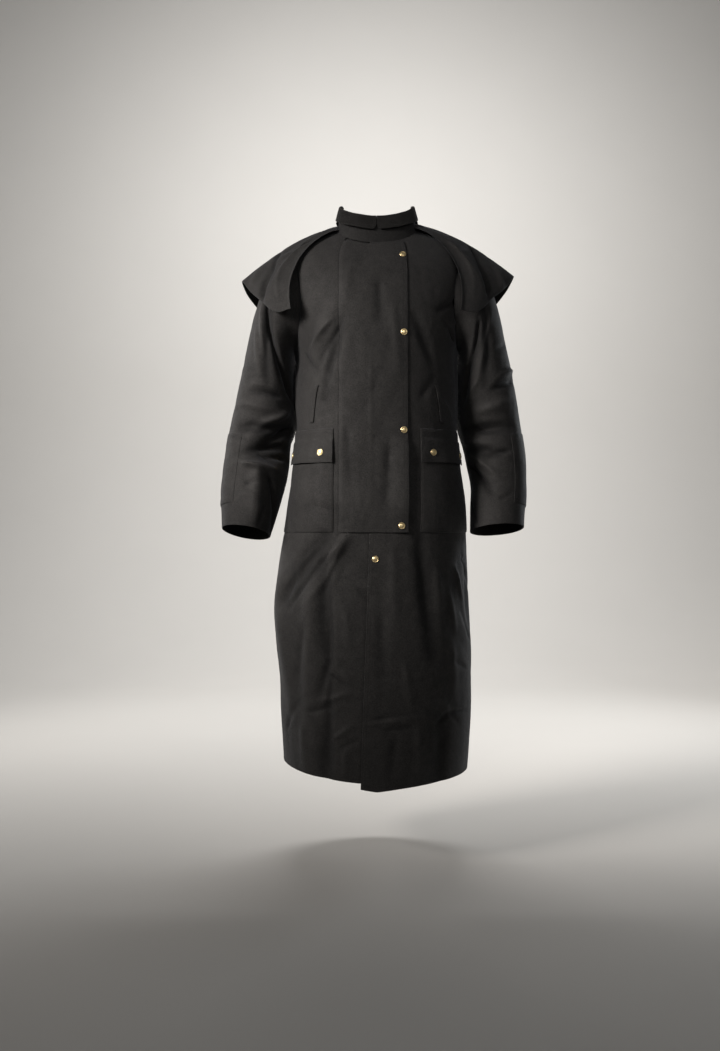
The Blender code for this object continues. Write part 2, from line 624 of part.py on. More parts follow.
def sleeve(side, collection, finish):
    """A sleeve and the patch on its forearm, round the way that faces its cloth outwards."""
    name = "left" if side > 0 else "right"

    def surface(around, down):
        return sleeve_point(side, -side * around, -down)

    around = np.arange(SLEEVE_SIDES) * 360 / SLEEVE_SIDES
    parts = np.array(SLEEVE_ROWS)[:, None] / (len(SLEEVE_RIGHT) - 1)
    cloth(f"sleeve_{name}", surface(around, -parts), collection, finish, closed=True)
    behind = around > PATCH_BACK % 360 + PATCH_CLEAR
    inside = around[behind | (around < PATCH_FRONT - PATCH_CLEAR)]
    inside = np.sort(np.mod(inside + 180, 360) - 180)
    columns_round = np.concatenate([[PATCH_BACK], inside, [PATCH_FRONT]])
    columns_round = columns_round if side < 0 else -columns_round[::-1]
    parts = parts[(parts >= PATCH_FROM) & (parts <= PATCH_TO)][:, None]
    out = np.full((len(parts), len(columns_round)), LAYER)
    points = raised(surface, columns_round[None], -parts, out)
    cloth(f"forearm_patch_{name}", points, collection, finish)


def seat(panel, near, towards):
    """Where a small piece sits on a panel, and the panel's outward direction there."""
    bpy.context.view_layer.update()
    solid = panel.evaluated_get(bpy.context.evaluated_depsgraph_get())
    start = Vector(near) + Vector(towards) * SEAT_ABOVE
    found, place, normal, _ = solid.ray_cast(start, -Vector(towards), distance=SEAT_SEARCH)
    if not found:
        raise ValueError(f"nothing to seat on at {near}")
    return place, normal


def snap(name, panel, around, nominal, collection):
    """A domed snap cap, turned, seated on a panel."""
    near = body_point(np.array(around), np.array(nominal))
    out = raised(body_point, np.array(around), np.array(nominal), SEAT_ABOVE) - near
    place, normal = seat(panel, near, out / np.linalg.norm(out))
    mesh = bpy.data.meshes.new(name)
    rim = SNAP_HEIGHT * SNAP_RIM
    half = math.sqrt(0.5)
    shoulder = (SNAP_RADIUS * half, 0.0, rim + (SNAP_HEIGHT - rim) * half)
    points = [(0.0, 0.0, SNAP_HEIGHT), shoulder, (SNAP_RADIUS, 0.0, rim)]
    points += [(SNAP_RADIUS, 0.0, 0.0), (0.0, 0.0, 0.0)]
    mesh.from_pydata(points, [(i, i + 1) for i in range(len(points) - 1)], [])
    made = add_object(name, mesh, collection, (BRASS, 0.3, 1.0))
    turn = made.modifiers.new("Turn", "SCREW")
    turn.steps = turn.render_steps = SNAP_SIDES
    turn.use_merge_vertices = True
    turn.merge_threshold = 0.00005
    turn.axis = "Z"
    made.rotation_mode = "QUATERNION"
    made.rotation_quaternion = normal.to_track_quat("Z", "Y")
    made.location = place + normal * GAP
    return made


def build():
    for old in list(bpy.data.objects):
        bpy.data.objects.remove(old, do_unlink=True)
    coat = bpy.data.collections.new("duster_coat")
    cutters = bpy.data.collections.new("cutters")
    for collection in (coat, cutters):
        bpy.context.scene.collection.children.link(collection)
    cutters.hide_render = True
    waxed = (WAXED_BLACK, 0.55, 0.0)
    ribbed = (RIBBED_BLACK, 0.85, 0.0)
    front_panels(coat, cutters, waxed)
    back_panel(coat, cutters, waxed)
    flap = storm_flap(coat, waxed)
    collar(coat, waxed, ribbed)
    cape(coat, waxed)
    for number, (around, nominal) in enumerate(FLAP_SNAPS, 1):
        snap(f"snap_flap_{number}", flap, around, nominal, coat)
    snap("snap_front", coat.objects["front_left"], *FRONT_SNAP, coat)
    for side, name in ((-1, "right"), (1, "left")):
        pocket_flap = pocket(side, coat, waxed)
        for number, (around, nominal) in enumerate(POCKET_SNAPS, 1):
            snap(f"snap_pocket_{name}_{number}", pocket_flap, side * around, nominal, coat)
        welt(side, coat, waxed)
        sleeve(side, coat, waxed)


build()
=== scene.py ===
"""Duster coat: every sewn piece as a fine shell of cloth, with its creases, weave and stitches.

The coat faces -Y and its origin is the centre of the neck base. Right and left are the wearer's
own: the right side is at -X. Sizes are in metres, and angles in degrees where a name says so.
"""

import functools
import math

import bpy
import numpy as np
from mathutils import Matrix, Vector


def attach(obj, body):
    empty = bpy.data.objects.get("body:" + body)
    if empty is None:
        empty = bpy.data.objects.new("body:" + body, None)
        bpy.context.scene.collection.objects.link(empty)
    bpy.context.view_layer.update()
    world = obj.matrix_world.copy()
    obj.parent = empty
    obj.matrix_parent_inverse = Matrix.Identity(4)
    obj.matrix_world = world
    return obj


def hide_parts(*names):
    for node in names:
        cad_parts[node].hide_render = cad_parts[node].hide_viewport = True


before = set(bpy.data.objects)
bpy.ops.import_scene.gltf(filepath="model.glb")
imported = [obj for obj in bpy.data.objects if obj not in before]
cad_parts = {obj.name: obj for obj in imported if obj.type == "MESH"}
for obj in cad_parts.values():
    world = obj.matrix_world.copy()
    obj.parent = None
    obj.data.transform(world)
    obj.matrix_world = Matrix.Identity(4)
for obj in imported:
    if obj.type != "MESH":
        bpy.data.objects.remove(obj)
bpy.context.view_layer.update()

bl_info = {
    "name": "Duster coat",
    "version": (1, 0, 0),
    "blender": (4, 5, 0),
    "location": "3D View > Sidebar > Coat",
    "description": "Builds a duster coat piece by piece around its solid model",
    "category": "Add Mesh",
}

# The body is measured round from the front centre and down from the neck base.
SIDE = 0.27  # round to a side seam; the centre back is at twice this
TURN = 4 * SIDE
FLAT = 0.11  # this far round from the front centre, lines run straight down
PLAIN_HALF = 0.20  # half width at which the lines over the front keep their real distances
HEM = -1.225
NECK_DIP = 0.046
NECK_DIP_POWER = 4
NECK_DIP_REACH = 0.20
HEM_REACH = 0.25
HEM_DROP_LEFT = 0.017
HEM_RISE_RIGHT = 0.018

SECTION_COLUMNS = ("level", "right", "left", "front", "back", "spread", "square")
SECTIONS = (
    (0.000, 0.086, 0.092, 0.052, 0.082, 0.090, 2.10),
    (-0.015, 0.128, 0.133, 0.064, 0.098, 0.130, 2.12),
    (-0.035, 0.170, 0.177, 0.076, 0.108, 0.168, 2.15),
    (-0.060, 0.198, 0.204, 0.091, 0.118, 0.192, 2.20),
    (-0.100, 0.211, 0.214, 0.113, 0.128, 0.200, 2.25),
    (-0.160, 0.208, 0.210, 0.132, 0.136, 0.200, 2.30),
    (-0.230, 0.192, 0.194, 0.142, 0.140, 0.200, 2.30),
    (-0.290, 0.178, 0.181, 0.146, 0.140, 0.200, 2.30),
    (-0.360, 0.182, 0.183, 0.148, 0.138, 0.200, 2.30),
    (-0.450, 0.183, 0.184, 0.149, 0.136, 0.200, 2.35),
    (-0.540, 0.187, 0.189, 0.155, 0.138, 0.200, 2.35),
    (-0.640, 0.201, 0.202, 0.166, 0.142, 0.200, 2.35),
    (-0.760, 0.221, 0.208, 0.176, 0.150, 0.200, 2.35),
    (-0.860, 0.233, 0.212, 0.182, 0.158, 0.200, 2.35),
    (-0.930, 0.229, 0.216, 0.186, 0.163, 0.200, 2.35),
    (-1.010, 0.221, 0.217, 0.188, 0.168, 0.200, 2.32),
    (-1.110, 0.217, 0.216, 0.190, 0.172, 0.200, 2.20),
    (-1.245, 0.210, 0.208, 0.190, 0.176, 0.200, 2.00),
)

# Main folds, which the solids have too: round and level of each end, half width, and height.
BODY_FOLDS = (
    (-0.075, -0.225, -0.116, -0.400, 0.010, -0.007),
    (-0.100, -0.200, -0.150, -0.300, 0.014, 0.006),
    (0.082, -0.215, 0.125, -0.325, 0.011, -0.006),
    (-0.066, -0.700, -0.106, -0.745, 0.012, 0.011),
    (-0.112, -0.700, -0.205, -0.850, 0.016, -0.010),
    (-0.112, -0.760, -0.110, -0.960, 0.012, -0.007),
    (-0.108, -1.120, -0.112, -1.230, 0.014, -0.006),
    (0.090, -0.670, 0.118, -0.960, 0.014, -0.008),
    (0.135, -1.090, 0.133, -1.230, 0.014, -0.007),
    (-0.230, -0.700, -0.190, -1.080, 0.020, 0.008),
    (0.225, -0.760, 0.232, -0.900, 0.014, -0.008),
    (-0.340, -0.620, -0.350, -1.245, 0.030, 0.010),
    (-0.420, -0.560, -0.440, -1.245, 0.024, -0.004),
    (0.330, -0.640, 0.340, -1.245, 0.028, 0.009),
    (0.430, -0.540, 0.440, -1.245, 0.026, -0.004),
    (0.520, -0.500, 0.520, -1.245, 0.030, 0.009),
    (-0.390, -0.300, -0.340, -0.480, 0.018, -0.007),
    (0.400, -0.290, 0.350, -0.470, 0.018, -0.007),
)

# The photograph is 720 by 1051 pixels. A pixel is placed on the cloth that the camera sees there.
CAMERA_X = -0.0368
CAMERA_AWAY = 2.5
CAMERA_LEVEL = -0.675
PHOTO_WIDTH, PHOTO_HEIGHT = 720, 1051
FOCAL_PIXELS = 1087.0

# Creases: x and y of both ends in the photograph's pixels, half width and height in millimetres
# (below zero for a trough), and sharpness: 2 is a soft swell and 1 is a pressed edge.
FRONT_CREASES = (
    (338, 356, 327, 390, 9, 3.0, 1.8),
    (379, 279, 380, 326, 15, -2.5, 2.0),
    (392, 300, 399, 380, 12, 1.4, 2.0),
    (352, 262, 344, 300, 14, 1.6, 2.0),
    (458, 300, 436, 311, 8, -4.0, 1.4),
    (459, 319, 446, 328, 8, 3.0, 1.5),
    (454, 342, 445, 322, 7, -3.5, 1.4),
    (304, 352, 318, 372, 7, -3.0, 1.4),
    (334, 318, 309, 356, 8, 3.2, 1.6),
    (343, 322, 317, 370, 8, -2.8, 1.6),
    (371, 340, 371, 492, 5, 0.8, 1.6),
    (346, 420, 352, 500, 13, -1.6, 2.0),
    (390, 440, 385, 520, 14, -1.8, 2.0),
    (420, 398, 436, 372, 10, -2.2, 1.7),
    (440, 396, 452, 420, 9, 2.4, 1.6),
    (340, 534, 289, 608, 5, -6.5, 1.2),
    (347, 539, 306, 606, 7, 3.4, 1.5),
    (322, 540, 284, 588, 8, 2.6, 1.7),
    (334, 566, 318, 600, 6, -2.4, 1.6),
    (311, 578, 309, 778, 21, 5.0, 2.0),
    (330, 600, 328, 783, 9, -4.6, 1.8),
    (324, 560, 325, 655, 4, -2.0, 1.2),
    (327, 664, 319, 701, 7, -4.5, 1.5),
    (332, 664, 326, 700, 6, 3.0, 1.6),
    (314, 657, 367, 657, 3, 1.0, 1.1),
    (412, 657, 431, 656, 3, 1.0, 1.1),
    (318, 701, 350, 693, 6, 3.5, 1.3),
    (308, 712, 332, 706, 6, -3.5, 1.5),
    (329, 674, 348, 689, 6, -2.6, 1.5),
    (342, 672, 352, 684, 7, 2.0, 1.6),
    (331, 741, 354, 724, 6, 3.0, 1.4),
    (340, 748, 360, 740, 7, -2.0, 1.6),
    (363, 725, 429, 716, 5, 2.8, 1.2),
    (372, 720, 396, 717, 6, -2.4, 1.5),
    (385, 731, 414, 727, 6, -2.4, 1.5),
    (449, 712, 468, 709, 6, -3.0, 1.4),
    (449, 712, 441, 698, 5, 2.5, 1.3),
    (449, 712, 459, 724, 6, -2.0, 1.5),
    (449, 712, 434, 728, 6, -2.4, 1.5),
    (357, 589, 371, 601, 5, -2.0, 1.3),
    (366, 586, 378, 592, 5, 1.8, 1.4),
    (469, 556, 456, 564, 7, -4.0, 1.4),
    (455, 566, 463, 604, 6, 4.0, 1.4),
    (461, 552, 468, 590, 6, -3.4, 1.5),
    (449, 590, 457, 640, 8, 2.6, 1.7),
    (470, 641, 460, 608, 8, -3.4, 1.5),
    (466, 668, 452, 660, 7, -2.2, 1.6),
    (300, 566, 292, 598, 8, 2.6, 1.7),
    (306, 620, 297, 690, 11, -2.6, 1.9),
    (286, 730, 300, 700, 9, -2.6, 1.7),
    (345, 610, 350, 650, 12, 1.8, 1.9),
    (392, 548, 396, 640, 16, 2.0, 2.0),
    (380, 610, 384, 700, 15, -1.8, 2.0),
    (404, 660, 412, 712, 12, 2.0, 1.8),
    (436, 560, 442, 640, 13, 2.4, 2.0),
    (452, 640, 455, 700, 12, 2.2, 1.9),
    (418, 728, 421, 781, 12, 2.2, 1.9),
    (395, 738, 391, 784, 13, -2.0, 1.9),
    (346, 748, 344, 783, 10, 2.0, 1.8),
    (303, 722, 305, 770, 12, 2.4, 1.9),
)

# Creases of the hidden sides: round and level of each end in metres, then as above.
HIDDEN_CREASES = (
    (0.270, -0.235, 0.270, -0.430, 32, 5.0, 2.0),
    (-0.270, -0.225, -0.270, -0.430, 34, 6.0, 2.0),
    (0.290, -0.300, 0.345, -0.330, 9, -4.0, 1.5),
    (0.290, -0.318, 0.360, -0.372, 9, 3.0, 1.6),
    (-0.290, -0.300, -0.350, -0.335, 9, -4.0, 1.5),
    (-0.290, -0.320, -0.368, -0.380, 9, 3.0, 1.6),
    (0.470, -0.220, 0.440, -0.420, 14, 2.6, 1.9),
    (-0.470, -0.215, -0.445, -0.400, 14, 2.6, 1.9),
    (0.540, -0.330, 0.536, -0.520, 16, -2.6, 2.0),
    (0.500, -0.560, 0.410, -0.600, 9, -2.6, 1.5),
    (-0.505, -0.585, -0.425, -0.560, 9, -2.6, 1.5),
    (0.460, -0.640, 0.470, -0.900, 14, 2.8, 1.9),
    (-0.470, -0.620, -0.485, -0.930, 14, 3.0, 1.9),
    (-0.300, -0.760, -0.310, -1.000, 11, -3.0, 1.8),
    (0.300, -0.700, 0.296, -0.960, 11, -3.0, 1.8),
    (0.380, -0.930, 0.470, -0.950, 5, 2.2, 1.2),
    (-0.370, -0.940, -0.520, -0.930, 5, 2.2, 1.2),
    (0.520, -1.010, 0.430, -1.060, 7, -2.6, 1.4),
    (-0.430, -1.020, -0.500, -1.070, 7, 2.6, 1.4),
    (0.385, -1.080, 0.400, -1.225, 12, 2.6, 1.9),
    (-0.530, -1.040, -0.530, -1.225, 13, -2.6, 1.9),
    (-0.395, -1.100, -0.390, -1.225, 12, 2.4, 1.9),
)

# The front's lines, round from the centre. The left front's edge leans over below the storm flap.
FLAP_SEAM = -0.084
FLAP_EDGE = 0.066
UNDERLAP = 0.030
LEFT_EDGE_TOP = -0.0155
LEFT_EDGE_HEM = -0.035
LAP_END = 0.094
LAP_HEIGHT = 0.0008
LAP_SUNK = 0.0012  # the right front lies this much lower under the left one
FLAP_TOP = -0.008
FLAP_BOTTOM = -0.690
FLAP_RAMP = 0.06  # the flap rises from its seam to the lapping front over this distance
SEAM_CELL = 0.001  # the step in the right front at the flap's seam is this wide
FLAP_SUNK = 0.0022  # the seam's edge lies in the right front by this much
FLAP_CLOSE = 0.06  # the free edge's lift near the collar, as a part of its lift low down
FLAP_OPEN_FROM, FLAP_OPEN_OVER = -0.42, 0.08  # it lifts fully over this distance below here
FLAP_LIFTS = 0.045  # the free edge lifts over this width
FLAP_HOLD = 0.035  # a snap holds the flap down this far above and below it
FLAP_HELD = 0.8  # the part of the lift that a snap takes away

# Finer spacings, as parts of the cloth's spacing
FLAP_FINER, POCKET_FINER, WELT_FINER, PATCH_FINER = 0.85, 0.8, 0.5, 0.85
COLLAR_FINER, FALL_FINER = 0.6, 0.7

# Pockets, their flaps, and the hand-warmer welts
POCKET_INNER = 0.095
POCKET_OUTER = 0.264
POCKET_TOP = -0.490
POCKET_BOTTOM = -0.690
POCKET_PUFF = 0.006
POCKET_FLAP_TOP = -0.464
POCKET_FLAP_BOTTOM = -0.538
POCKET_STEP = 0.006  # the flap rises over the pocket's top edge over this distance
POCKET_FLAP_OPEN, POCKET_FLAP_LIFTS = -0.494, 0.04  # it lifts over this distance below here
POCKET_FLAP_LIFT = 0.0035
POCKET_FLAP_HELD = 0.9  # the part of the lift that a snap takes away
POCKET_DIP = 0.8  # as a part of a seam's dip
WELT_FROM = (0.136, -0.368)
WELT_TO = (0.152, -0.448)
WELT_WIDTH = 0.012
WELT_BOW = 0.6  # power of the way down by which its middle goes outwards
WELT_CROWN = 0.0006

# Armholes: an ellipse as seen from the side
ARMHOLE_Y = 0.003
ARMHOLE_LEVEL = -0.170
ARMHOLE_DEPTH = 0.088
ARMHOLE_HEIGHT = 0.108
ARMHOLE_REACH = 0.16  # no armhole reaches further round from the side seam

SLEEVE_COLUMNS = (
    "part", "outer_x", "outer_level", "inner_x", "inner_level", "centre_y", "half_depth", "tip",
)
SLEEVE_RIGHT = (
    (0.199, -0.062, 0.180, -0.278, 0.003, 0.088, 0.0),
    (0.228, -0.082, 0.187, -0.2795, 0.003, 0.088, 0.0),
    (0.250, -0.115, 0.190, -0.288, 0.003, 0.088, 0.0),
    (0.268, -0.158, 0.191, -0.306, 0.004, 0.086, 0.0),
    (0.284, -0.210, 0.1900, -0.328, 0.006, 0.083, 0.0),
    (0.298, -0.272, 0.1895, -0.360, 0.009, 0.080, 0.0),
    (0.312, -0.336, 0.1880, -0.400, 0.011, 0.077, 0.0),
    (0.325, -0.400, 0.1895, -0.445, 0.010, 0.075, 2.0),
    (0.337, -0.458, 0.196, -0.486, 0.006, 0.073, 5.0),
    (0.345, -0.518, 0.199, -0.532, -0.003, 0.070, 9.0),
    (0.350, -0.572, 0.207, -0.586, -0.018, 0.066, 13.0),
    (0.351, -0.624, 0.221, -0.640, -0.038, 0.061, 15.0),
    (0.346, -0.682, 0.238, -0.698, -0.062, 0.056, 16.0),
)
SLEEVE_LEFT = (
    (0.203, -0.062, 0.182, -0.278, 0.003, 0.088, 0.0),
    (0.232, -0.080, 0.189, -0.2795, 0.003, 0.088, 0.0),
    (0.255, -0.112, 0.192, -0.288, 0.003, 0.088, 0.0),
    (0.272, -0.155, 0.193, -0.306, 0.004, 0.086, 0.0),
    (0.287, -0.208, 0.1915, -0.328, 0.006, 0.083, 0.0),
    (0.301, -0.272, 0.1905, -0.360, 0.009, 0.080, 0.0),
    (0.315, -0.336, 0.1900, -0.400, 0.011, 0.077, 0.0),
    (0.326, -0.400, 0.1930, -0.445, 0.010, 0.075, 2.0),
    (0.334, -0.458, 0.2000, -0.488, 0.006, 0.072, 5.0),
    (0.341, -0.518, 0.2080, -0.534, -0.003, 0.068, 9.0),
    (0.341, -0.572, 0.216, -0.584, -0.016, 0.063, 12.0),
    (0.338, -0.624, 0.213, -0.634, -0.034, 0.059, 14.0),
    (0.332, -0.680, 0.211, -0.688, -0.054, 0.056, 14.0),
)
SLEEVE_GIRTH = 0.07  # mean radius, to measure a crease's distances round a sleeve
SLEEVE_LENGTH = 0.64
SLEEVE_HEAD = 3  # the sleeve leaves the armhole's shape over this many rows of its table
SLEEVE_RUN_IN = 0.05  # its creases come on over this part of its length

# Main folds of both sleeves: degrees round from the outer edge by way of the front, and part.
SLEEVE_FOLDS = (
    (150.0, 0.62, 60.0, 0.66, 0.013, -0.012),
    (170.0, 0.70, 95.0, 0.74, 0.012, -0.008),
    (120.0, 0.56, 30.0, 0.58, 0.012, 0.007),
    (60.0, 0.10, 95.0, 0.48, 0.013, -0.007),
    (-152.0, 0.22, -152.0, 0.63, 0.022, 0.013),
    (-158.0, 0.08, -150.0, 0.68, 0.020, 0.007),
    (-166.0, 0.10, -156.0, 0.36, 0.024, 0.012),
)
SLEEVE_CREASES_RIGHT = (
    (291, 400, 279, 362, 13, -10.0, 1.5),
    (267, 296, 270, 338, 13, -10.0, 1.5),
    (269, 326, 282, 372, 13, -11.0, 1.5),
    (262, 306, 263, 352, 9, 4.0, 1.6),
    (256, 330, 260, 375, 11, 3.0, 1.9),
    (283, 398, 250, 391, 7, -6.0, 1.3),
    (250, 383, 276, 388, 8, 3.4, 1.6),
    (289, 411, 250, 432, 12, 8.0, 1.8),
    (292, 429, 262, 444, 13, -14.0, 1.7),
    (286, 446, 245, 452, 12, -12.0, 1.4),
    (287, 460, 262, 456, 11, -12.0, 1.5),
    (256, 452, 276, 466, 6, -5.0, 1.3),
    (240, 462, 282, 475, 11, 8.0, 1.7),
    (244, 462, 262, 472, 7, 3.0, 1.6),
    (268, 474, 271, 531, 9, -5.5, 1.6),
    (257, 464, 254, 526, 22, 6.0, 2.0),
    (245, 483, 259, 483, 5, -3.0, 1.3),
    (240, 492, 256, 497, 6, 2.4, 1.5),
    (265, 504, 258, 525, 6, -3.0, 1.5),
    (236, 410, 252, 408, 7, -2.4, 1.6),
    (232, 437, 246, 441, 6, -2.2, 1.5),
    (240, 365, 258, 371, 8, -2.2, 1.7),
)
SLEEVE_CREASES_LEFT = (
    (491, 312, 482, 352, 11, 2.6, 1.8),
    (485, 344, 475, 388, 12, 3.0, 1.8),
    (478, 318, 470, 372, 13, -8.0, 1.6),
    (470, 360, 464, 404, 10, -6.0, 1.6),
    (477, 380, 466, 405, 7, 3.0, 1.5),
    (516, 381, 489, 391, 8, -8.0, 1.3),
    (512, 372, 496, 378, 8, 4.6, 1.6),
    (474, 430, 493, 431, 7, -6.0, 1.3),
    (470, 441, 488, 444, 8, 4.0, 1.5),
    (511, 450, 483, 458, 7, -6.0, 1.3),
    (470, 467, 493, 493, 9, -8.0, 1.4),
    (478, 460, 498, 476, 9, 4.6, 1.6),
    (470, 500, 478, 524, 7, -3.4, 1.5),
    (500, 407, 512, 402, 8, -2.4, 1.6),
    (505, 345, 496, 350, 8, -2.4, 1.7),
    (500, 500, 512, 492, 6, -2.2, 1.5),
)
# Behind the sleeves: degrees and part of each end, then as above.
SLEEVE_CREASES_HIDDEN = (
    (-60.0, 0.28, -110.0, 0.36, 9, -4.0, 1.5),
    (-70.0, 0.46, -130.0, 0.50, 8, -3.5, 1.5),
    (-40.0, 0.52, -95.0, 0.57, 8, 3.5, 1.5),
    (-35.0, 0.63, -100.0, 0.61, 7, -4.0, 1.4),
    (-45.0, 0.72, -110.0, 0.78, 8, 3.0, 1.6),
    (-90.0, 0.12, -84.0, 0.34, 12, 2.6, 1.9),
    (-140.0, 0.80, -120.0, 0.96, 8, -3.0, 1.6),
)

# Forearm patches, by part of the sleeve's length and degrees round from its outer edge
PATCH_FROM, PATCH_TO = 0.68, 0.93
PATCH_FRONT, PATCH_BACK = 60.0, -126.0
PATCH_OUT = 0.0019
PATCH_DIP, PATCH_SIDE_DIP = 0.4, 1.1  # as parts of a seam's dip
PATCH_FEATHER = 4.0  # the sides turn in over this many times a seam's width

CAPE_COLUMNS = (
    "azimuth", "reach_right", "reach_left", "hem_right", "hem_left", "spread", "drop",
)
CAPE = (
    (58.0, 0.226, 0.221, -0.200, -0.202, 1.8, 1.42),
    (63.0, 0.243, 0.240, -0.206, -0.206, 1.8, 1.42),
    (69.0, 0.257, 0.256, -0.192, -0.190, 1.7, 1.36),
    (75.0, 0.268, 0.270, -0.172, -0.166, 1.5, 1.20),
    (82.0, 0.287, 0.294, -0.146, -0.138, 1.2, 1.35),
    (90.0, 0.308, 0.317, -0.113, -0.102, 1.0, 1.58),
    (98.0, 0.302, 0.308, -0.138, -0.128, 1.1, 1.60),
    (108.0, 0.276, 0.280, -0.178, -0.172, 1.4, 1.50),
    (122.0, 0.246, 0.246, -0.218, -0.215, 1.7, 1.42),
    (140.0, 0.212, 0.212, -0.246, -0.246, 2.1, 1.35),
    (160.0, 0.182, 0.182, -0.262, -0.262, 2.4, 1.30),
    (180.0, 0.172, 0.172, -0.268, -0.268, 2.4, 1.25),
)
CAPE_SWEEP, CAPE_SWEEP_POWER = 9.5, 0.8  # degrees by which its front edges bow to the sides
CAPE_RUN_IN = 0.15  # its creases come on over this part of its depth
CAPE_WIDER = 1.4  # degrees by which each front edge reaches further than in the solids
CAPE_RISE_RIGHT, CAPE_RISE_LEFT = 0.009, 0.014
CAPE_OFF_STAND = 0.0009
CAPE_REACH = 0.25  # mean radius and depth, to measure a crease's distances on the cape
CAPE_CREASES_RIGHT = (
    (280, 250, 272, 274, 8, -5.0, 1.4),
    (262, 300, 272, 270, 9, -9.0, 1.4),
    (280, 300, 284, 262, 11, 1.2, 1.8),
    (292, 252, 264, 266, 9, 2.4, 1.7),
    (318, 240, 284, 256, 8, -1.8, 1.6),
    (250, 286, 262, 268, 8, 3.4, 1.6),
)
CAPE_CREASES_LEFT = (
    (470, 246, 479, 268, 8, -5.0, 1.4),
    (489, 296, 480, 266, 9, -9.0, 1.4),
    (472, 300, 466, 258, 11, 1.2, 1.8),
    (446, 242, 470, 250, 8, 2.0, 1.7),
    (503, 292, 492, 262, 9, 3.6, 1.6),
)
# Behind: azimuth in degrees and part of each end, then as above.
CAPE_CREASES_HIDDEN = (
    (118.0, 0.30, 116.0, 1.00, 11, -3.4, 1.8),
    (-118.0, 0.28, -117.0, 1.00, 11, -3.4, 1.8),
    (136.0, 0.20, 138.0, 1.00, 14, 3.0, 1.9),
    (-138.0, 0.25, -136.0, 1.00, 14, 3.0, 1.9),
    (162.0, 0.10, 158.0, 1.00, 14, -2.4, 1.9),
    (-160.0, 0.15, -163.0, 1.00, 14, -2.4, 1.9),
    (100.0, 0.30, 104.0, 0.98, 9, 2.4, 1.7),
    (-100.0, 0.30, -105.0, 0.98, 9, 2.4, 1.7),
)

# Collar
STAND_FRONT = 0.058
STAND_BACK = 0.046
STAND_GAP = 0.0006
STAND_LEAN = 0.10
STAND_PAINTED_SHADOW = -0.004  # the stand's cloth is painted as dark as a trough this deep: painted shadow of the fall above it
FALL_ROLL = 0.0042
FALL_SEAT = 0.0002
FALL_DEPTH = 0.027
FALL_SPREAD = 0.0070
FALL_FRONT = 0.0012
FALL_CORNER = 0.010  # radius of the fall's front corners
FALL_PUFF = 0.028  # height of the fall's lumps, as a part of their width

# Snaps: round and level of each, on the storm flap, below it, and on the pocket flaps
FLAP_SNAPS = ((0.058, -0.045), (0.058, -0.255), (0.0575, -0.468), (0.052, -0.676))
FRONT_SNAP = (-0.004, -0.747)
POCKET_SNAPS = ((0.122, -0.516), (0.232, -0.519))
SNAP_REACH = 0.022  # a snap holds the cloth down this far from it
# Profile of a cap, as parts of its radius and height: dome, groove and rolled rim
SNAP_PROFILE = (
    (0.00, 1.00), (0.22, 0.99), (0.42, 0.94), (0.58, 0.84), (0.68, 0.68), (0.72, 0.56),
    (0.76, 0.55), (0.81, 0.66), (0.88, 0.72), (0.95, 0.62), (1.00, 0.38), (0.99, 0.12), (0.96, 0.0),
)
SNAP_SIDES = 48
SNAP_SINK = 0.0005  # its underside goes this far into the cloth
SNAP_PROBE = 0.01  # a cap's direction is taken from a point this far above its seat
SNAP_GROOVE, SNAP_GROOVE_WIDTH = 0.74, 0.06  # the tarnished groove, as parts of the radius
SNAP_FOOT, SNAP_FOOT_DARK = 0.3, 0.6  # below this part of its height it is tarnished so much

# Lights: place, target, size, degrees over which each shines, and colour
LIGHTS = {
    "key": ((-2.0, -1.3, 0.5), (-0.12, 0.0, -0.44), 0.9, 36.0, (1.0, 0.95, 0.91)),
    "fill": ((0.5, -2.4, 0.5), (0.1, 0.0, -0.2), 0.8, 44.0, (1.0, 0.97, 0.95)),
    "backdrop": ((0.0, 1.3, 1.5), (0.0, 4.0, -0.6), 1.4, 180.0, (1.0, 1.0, 1.0)),
    "side_right": ((-1.9, 1.3, -0.1), (0.0, 0.0, -0.55), 0.9, 180.0, (1.0, 0.97, 0.94)),
    "side_left": ((1.8, 1.5, -0.1), (0.0, 0.0, -0.55), 0.9, 180.0, (0.93, 0.97, 1.0)),
}
SENSOR_WIDTH = 36.0

# The floor: half width, front edge, where it starts to turn up, the turn's radius, and its top
FLOOR_HALF, FLOOR_FRONT = 9.0, -9.0
FLOOR_TURN, FLOOR_RADIUS, FLOOR_TOP = 2.4, 1.6, 7.0
FLOOR_SPOT, FLOOR_EVEN = 0.96, 0.35  # its spots' colour as a part of its own, and where they start
FLOOR_ROUGH = 0.85

# Patterns: scale, detail and roughness of each noise
CLOUD = (7.0, 6.0, 0.62)
BEND = (18.0, 3.0, 0.5)
GRAIN = (60.0, 5.0, 0.65)
SPECK = (420.0, 3.0, 0.6)
COLLAR_CLOUD = (30.0, 5.0, 0.6)
COLLAR_NAP = (600.0, 4.0, 0.7)
TARNISH = (160.0, 4.0, 0.6)
FLOOR_GRAIN = (3.0, 3.0, 0.55)

# Waxed cotton's tone: 0 is its dark colour and 1 its light one. Each pattern adds its share.
WAX_TONE = 0.40
WAX_CLOUD, WAX_GRAIN, WAX_SPECK = 0.5, 0.6, 1.9
WAX_RIDGE, WAX_TROUGH_SHADE = 0.18, 0.36  # what rubbing adds on a full ridge, and the painted shade that a full trough takes
WAX_EDGE, WAX_EDGE_WIDTH = 0.04, 0.008  # what rubbing adds beside a sewn edge
WAX_ROW = 0.25  # what a row of stitches takes
FULL_CREASE = 0.004  # a crease this high is a full ridge or trough
STITCH_ROWS = (0.0022, 0.0085)  # distance of each row from the edge
STITCH_HALF = 0.0007  # half width of a row
STITCH_GAIN, STITCH_LIFT = 2.2, 1.2  # how sharply a stitch ends, and how long it is
WAX_ROUGH, WAX_ROUGH_CLOUD, WAX_ROUGH_GRAIN, WAX_ROUGH_RIDGE = 0.72, 0.25, 0.2, 0.04
WAX_ROUGH_LIMITS = (0.45, 0.95)
